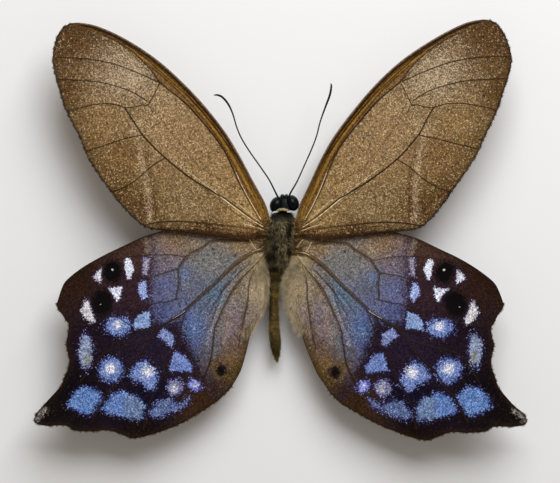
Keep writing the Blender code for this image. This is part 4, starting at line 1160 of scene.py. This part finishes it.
legs = {
    "midleg": [(1.15, 0.70, 1.55, 0.26), (1.75, 0.95, 1.25, 0.26), (2.15, 1.15, 1.15, 0.16),
               (2.75, 1.50, 1.45, 0.20), (3.60, 2.00, 1.90, 0.21), (4.70, 2.55, 2.35, 0.15),
               (5.10, 2.75, 2.35, 0.13), (6.30, 3.20, 1.60, 0.11), (7.80, 3.75, 0.65, 0.10),
               (8.40, 3.95, 0.28, 0.09), (9.00, 4.15, 0.10, 0.09), (10.1, 4.50, 0.09, 0.08),
               (11.2, 4.85, 0.09, 0.08), (11.6, 4.98, 0.06, 0.04)],
    "hindleg": [(1.15, -1.90, 1.50, 0.26), (1.70, -2.15, 1.22, 0.26), (2.05, -2.35, 1.12, 0.16),
                (2.60, -2.85, 1.40, 0.20), (3.35, -3.60, 1.80, 0.21), (4.20, -4.45, 2.25, 0.15),
                (4.50, -4.85, 2.25, 0.13), (5.20, -6.10, 1.55, 0.11), (6.10, -7.60, 0.65, 0.10),
                (6.45, -8.20, 0.28, 0.09), (6.80, -8.80, 0.10, 0.09), (7.40, -9.80, 0.09, 0.08),
                (8.00, -10.8, 0.09, 0.08), (8.20, -11.2, 0.06, 0.04)],
    "foreleg": [(0.62, 1.75, 1.95, 0.18), (0.85, 2.05, 1.55, 0.17), (0.80, 2.60, 1.35, 0.15),
                (0.60, 3.15, 1.55, 0.13), (0.45, 3.00, 1.95, 0.10), (0.35, 2.65, 2.15, 0.05)],
    "rings": {"midleg": 26, "hindleg": 26, "foreleg": 10},
}
palps = [(0.30, 4.35, 2.35, 0.14), (0.33, 4.90, 2.55, 0.19), (0.32, 5.15, 3.00, 0.20),
         (0.27, 5.18, 3.60, 0.17),
         (0.22, 5.12, 4.20, 0.12), (0.18, 4.98, 4.55, 0.05)]
tongue = {"centre": (0.62, 4.45, 1.75), "turns": 2.25, "inner": 0.16, "outer": 0.56, "radius": 0.06}


def makeLegs(materials):
    for side, word in ((-1, "left"), (1, "right")):
        for leg in ("midleg", "hindleg", "foreleg"):
            tube = tubePiece([ringedTube(legs[leg], legs["rings"][leg], 0.14, side)], 3)
            finishPiece(tube, f"{word}_{leg}_shell", materials["limb"], "limb", f"{word}_{leg}")
            sweptHair(f"{word}_{leg}_bristles", tube, coats[leg], materials["legHair"], "limb", side)
        tube = tubePiece([ringedTube(palps, 10, 0.05, side, 0.62)], 3)
        finishPiece(tube, f"{word}_palp_shell", materials["limb"], "head_fur", f"{word}_palp")
        sweptHair(f"{word}_palp_hair", tube, coats["palp"], materials["palpHair"], "head_fur", side)


def makeTongue(material):
    x, y, z = tongue["centre"]
    count = 120
    shares = np.arange(count + 1) / count
    angles = shares * tongue["turns"] * 2 * math.pi
    reach = tongue["inner"] + (tongue["outer"] - tongue["inner"]) * shares
    points = [(x, y + r * math.cos(a), z + r * math.sin(a)) for r, a in zip(reach, angles)]
    radii = tongue["radius"] * (1 - 0.12 * (np.arange(count + 1) % 2))
    finishPiece(tubePiece([(points, radii)], 3), "tongue_coil", material, "limb", "proboscis")


# Hair on the wings' inner edges and roots

# pale hair along the inner edges; on the right wing it crowds nearer the root and leans further over
edgeHair = {"count": 2300, "radius": 0.018, "width": 2.6, "lengths": (0.8, 2.1), "scatter": 0.16, "seed": 60,
            "crowding": {-1: 1.5, 1: 2.0}, "lean": {-1: -0.25, 1: -1.6}}


def makeEdgeHair(name, wing, side, material):
    rng = np.random.default_rng(edgeHair["seed"] + side)
    count, width = edgeHair["count"], edgeHair["width"]
    line = smoothLine(hindwing["rear"])
    shares = rng.random(count) ** edgeHair["crowding"][side] * 0.6 + 0.01
    start = pointsAt(line, shares)
    inwards = rng.random(count) ** 1.5 * width * (1 - 0.6 * shares)
    start[:, 0] += inwards
    ahead = pointsAt(line, np.minimum(shares + 0.12, 1.0)) - pointsAt(line, shares)
    ahead /= np.linalg.norm(ahead, axis=1, keepdims=True)
    lean = np.array((edgeHair["lean"][side], 0.0)) * (1 - inwards / width)[:, None] ** 2
    heading = ahead + rng.normal(0, edgeHair["scatter"], ahead.shape) + lean
    height = topOf(wing)
    roots = onSide(start, hindwing, side)
    tips = onSide(start + heading, hindwing, side)
    z = np.array([height(x, y) for x, y in roots])
    directions = np.column_stack([tips - roots, rng.normal(0.05, 0.05, count)])
    bends = np.column_stack([rng.normal(0, 0.05, (count, 2)), np.full(count, -0.04)])
    lengths = rng.uniform(*edgeHair["lengths"], count) * (1.15 - 0.7 * shares)
    light = 0.4 * np.sin(7 * inwards + 9 * shares) * np.sin(3 * inwards - 4 * shares + 1)
    roots = np.column_stack([roots, z - 0.02])
    piece = strandPiece(roots, directions, lengths, edgeHair["radius"], bends, 3, rng, light)
    finishPiece(piece, name, material, "hindwing")


# stiff golden hairs: how many beside each vein that starts within reach, and over what share of it
rootBristles = {"each": 34, "reach": 3.0, "share": 0.22, "lengths": (0.5, 1.7), "radius": 0.02, "seed": 70}


def makeRootBristles(word, side, wings, material):
    rng = np.random.default_rng(rootBristles["seed"] + side)
    roots, directions = [], []
    for plan, wing in ((forewing, wings[0]), (hindwing, wings[1])):
        height = topOf(wing)
        for near, far, points in plan["veins"]:
            line = smoothLine(points, 8)
            if line[0, 0] > rootBristles["reach"]:
                continue
            for share in rng.random(rootBristles["each"]) * rootBristles["share"]:
                here, ahead = pointsAt(line, np.array([share, share + 0.05]))
                start, end = onSide(np.array([here, ahead]) + rng.normal(0, 0.12), plan, side)
                roots.append((*start, height(*start)))
                directions.append((*(end - start), rng.uniform(0.0, 0.12)))
    roots, directions = np.array(roots), np.array(directions)
    directions = directions + rng.normal(0, 0.03, directions.shape)
    lengths = rng.uniform(*rootBristles["lengths"], len(roots))
    piece = strandPiece(roots, directions, lengths, rootBristles["radius"], directions * 0, 3, rng)
    finishPiece(piece, f"{word}_root_bristles", material, "forewing")


# short brown hair over the wings' roots: for each wing the box that it grows in, as x and y from and to
rootFuzz = {"forewing": (1.35, 3.3, -0.35, 1.7), "hindwing": (1.35, 2.9, -2.9, -0.9), "count": 420,
            "lengths": (0.25, 0.6), "radius": 0.02, "seed": 80}


def makeRootFuzz(word, side, wings, material):
    rng = np.random.default_rng(rootFuzz["seed"] + side)
    count = rootFuzz["count"]
    roots = []
    for slot, plan, wing in (("forewing", forewing, wings[0]), ("hindwing", hindwing, wings[1])):
        near, far, low, high = rootFuzz[slot]
        height = topOf(wing)
        start = np.column_stack([
            near + (far - near) * rng.random(count) ** 1.6, rng.uniform(low, high, count)])
        roots += [(x, y, height(x, y)) for x, y in onSide(start, plan, side)]
    roots = np.array(roots)
    directions = np.column_stack([np.full(2 * count, side * 0.9), rng.normal(0, 0.5, 2 * count),
                                  rng.uniform(0.1, 0.5, 2 * count)])
    lengths = rng.uniform(*rootFuzz["lengths"], 2 * count)
    piece = strandPiece(roots, directions, lengths, rootFuzz["radius"], directions * 0.1, 2, rng)
    finishPiece(piece, f"{word}_root_fuzz", material, "forewing")


# small hard plates that the wings turn on: x, y, z, and half the width, length and height
hinges = [(2.9, -0.8, 4.4, 0.55, 0.4, 0.1), (2.0, 0.55, 4.95, 0.26, 0.16, 0.14),
          (2.25, -0.30, 4.9, 0.34, 0.12, 0.12),
          (2.15, -1.20, 4.65, 0.2, 0.22, 0.14), (2.4, -2.15, 4.4, 0.26, 0.16, 0.12),
          (1.95, -2.85, 4.3, 0.16, 0.30, 0.12), (1.9, 1.35, 4.9, 0.2, 0.26, 0.14)]


def makeHinges(word, side, material):
    parts = []
    for index, (x, y, z, wide, long, high) in enumerate(hinges):
        bpy.ops.object.select_all(action="DESELECT")
        bpy.ops.mesh.primitive_ico_sphere_add(subdivisions=3, radius=1)
        part = bpy.context.object
        start = vertexPlaces(part)
        start *= 1 + 0.25 * np.sin(3.1 * start[:, [1]] + index) * np.sin(2.3 * start[:, [0]] + 2 * index)
        start[:, 0] += 0.35 * np.sin(2.5 * start[:, 1] + index)
        setPlaces(part, (start * np.array((wide, long, high)) + np.array((side * x, y, z))) * mm)
        parts.append(part)
    bpy.ops.object.select_all(action="DESELECT")
    for part in parts:
        part.select_set(True)
    bpy.context.view_layer.objects.active = parts[0]
    bpy.ops.object.join()
    bpy.ops.object.shade_smooth()
    finishPiece(bpy.context.object, f"{word}_hinge_plates", material, "forewing")


# The whole specimen

finishes = {
    "skin": skinMaterial("bodyCuticle", "#16130D", "#2E2A1C", 0.5, 0.4),
    "headSkin": skinMaterial("headCuticle", "#060708", "#14171A", 0.5, 0.4),
    "abdomenSkin": skinMaterial("abdomenCuticle", "#181004", "#6C5820", 0.6, 0.25),
    "thoraxHair": hairMaterial("thoraxSetae", "#0A0805", "#6E6038", "#BEB084", 0.5),
    "abdomenHair": hairMaterial("abdomenSetae", "#181004", "#806626", "#D8B868", 0.5),
    "headHair": hairMaterial("headSetae", "#040506", "#0C0E10", "#1C2022", 0.5),
    "palpHair": hairMaterial("palpSetae", "#060504", "#16140F", "#3A3226", 0.5),
    "legHair": hairMaterial("legSetae", "#2A1E12", "#5A452A", "#8C7448", 0.45),
    "cream": hairMaterial("collarScales", "#B4A474", "#E8DAA6", "#FFF6D0", 0.55),
    "white": hairMaterial("whiteScales", "#E6E4DE", "#FFFFFF", "#FFFFFF", 0.55),
    "edgeHair": hairMaterial("innerEdgeSetae", "#9C8862", "#DCC89E", "#FFF2D6", 0.5),
    "fuzz": hairMaterial("rootSetae", "#2E1E0C", "#6A4A20", "#A07C40", 0.5),
    "gold": hairMaterial("goldenBristles", "#7A5A22", "#C9A050", "#F0D894", 0.3),
    "forewingFringe": hairMaterial("forewingFringe", "#140C06", "#2A1C0E", "#4A3418", 0.5),
    "hindwingFringe": hairMaterial("hindwingFringe", "#1C1206", "#54401A", "#94763A", 0.5),
    "limb": skinMaterial("limbCuticle", "#1C120A", "#3E2A18", 0.38, 0.3),
    "feeler": skinMaterial("feelerCuticle", "#060302", "#150B06", 0.6, 0.3),
    "hinge": skinMaterial("hingeSclerite", "#2E1E0C", "#8A6630", 0.3, 0.35),
    "vein": veinMaterial("veinChitin", 0.5, 0.08, [
        (0.0, "#8A6830"), (1.0, "#2C190A"), (0.2, "#6A4A1E"), (0.45, "#341D0A")]),
    "duskVein": veinMaterial("duskyChitin", 0.5, 0.1, [
        (0.0, "#8A6834"), (1.0, "#2A1C14"), (0.2, "#604A2A"), (0.6, "#4E3E28"), (0.78, "#2E2014")]),
    # dark tubes of painted shade beside the veins
    "groove": veinMaterial("veinShadeChitin", 0.6, 0.05, [
        (0.0, "#4A2C10"), (1.0, "#241206"), (0.3, "#2E1806")]),
    # bright golden tubes of painted highlight beside the veins
    "highlightTube": veinMaterial("veinHighlightChitin", 0.3, 0.6, [(0.0, "#F0CE88"), (1.0, "#F0DCB0"), (0.3, "#FFF0CC")]),
    "eye": eyeMaterial(),
    "forewing": forewingMaterial(),
    "hindwing": hindwingMaterial(),
}

makeThorax(finishes)
makeAbdomen(finishes)
makeHead(finishes)
makeFeelers(finishes["feeler"])
makeLegs(finishes)
makeTongue(finishes["limb"])
for side, word in ((-1, "left"), (1, "right")):
    upper = makeWing(f"{word}_forewing", forewing, side, finishes["forewing"], "forewing")
    lower = makeWing(f"{word}_hindwing", hindwing, side, finishes["hindwing"], "hindwing")
    pairs = ((upper, forewing, "forewing", "vein"), (lower, hindwing, "hindwing", "duskVein"))
    for wing, plan, slot, vein in pairs:
        makeVeins(f"{word}_{slot}_veins", wing, plan, side, plan["veins"], 0.35, finishes[vein], slot)
        # thin dark tubes of painted shade on the veins' shaded side
        makeVeins(f"{word}_{slot}_grooves", wing, plan, side,
                  [(r, r * 0.6, line) for r, line in plan["grooves"]], 0.5, finishes["groove"], slot)
        # bright golden tubes of painted highlight on the veins' lit side
        makeVeins(f"{word}_{slot}_ridges", wing, plan, side,
                  [(r, r * 0.5, line) for r, line in plan["highlightLines"]], 0.0, finishes["highlightTube"], slot)
    for wing, plan, slot, vein in pairs:
        makeFringe(f"{word}_{slot}_fringe", wing, plan, side, finishes[f"{slot}Fringe"], slot)
    makeEdgeHair(f"{word}_inner_edge_hair", lower, side, finishes["edgeHair"])
    makeRootFuzz(word, side, (upper, lower), finishes["fuzz"])
    makeRootBristles(word, side, (upper, lower), finishes["gold"])
    makeHinges(word, side, finishes["hinge"])


# Floor, light and camera

# the floor and the lamp are placed in metres, and the camera in millimetres
stage = {
    "floorSize": 1.6, "floorHeight": -0.00002,
    "floor": "#F6F6F7", "world": "#FFF4E6", "worldStrength": 0.27, "lightColour": (0.96, 0.98, 1.0),
    "light": (0.07, 0.25, 0.28), "lightSize": 0.28, "lightPower": 1.54,
    "eyeHeight": 507, "eyeShift": -1.33, "lens": 229.6, "sensor": 36,
}


def makeStage():
    bpy.ops.object.select_all(action="DESELECT")
    bpy.ops.mesh.primitive_plane_add(size=stage["floorSize"], location=(0, 0, stage["floorHeight"]))
    floor = bpy.context.object
    floor.name = "floor"
    material, shader = newMaterial("paleCard", {"Roughness": 0.9, "Base Color": linear(stage["floor"])})
    floor.data.materials.append(material)
    world = bpy.data.worlds.new("studio")
    bpy.context.scene.world = world
    world.use_nodes = True
    background = world.node_tree.nodes["Background"]
    background.inputs["Color"].default_value = linear(stage["world"])
    background.inputs["Strength"].default_value = stage["worldStrength"]
    bpy.ops.object.light_add(type="AREA", location=stage["light"])
    lamp = bpy.context.object
    lamp.data.size = stage["lightSize"]
    lamp.data.energy = stage["lightPower"]
    lamp.data.color = stage["lightColour"]
    lamp.rotation_euler = (-Vector(stage["light"])).to_track_quat("-Z", "Y").to_euler()
    place = (0, stage["eyeShift"] * mm, stage["eyeHeight"] * mm)
    bpy.ops.object.camera_add(location=place, rotation=(0, 0, 0))
    camera = bpy.context.object
    camera.data.lens = stage["lens"]
    camera.data.sensor_width = stage["sensor"]
    bpy.context.scene.camera = camera
    bpy.context.scene.view_settings.view_transform = "Standard"


makeStage()
print("stage is set")
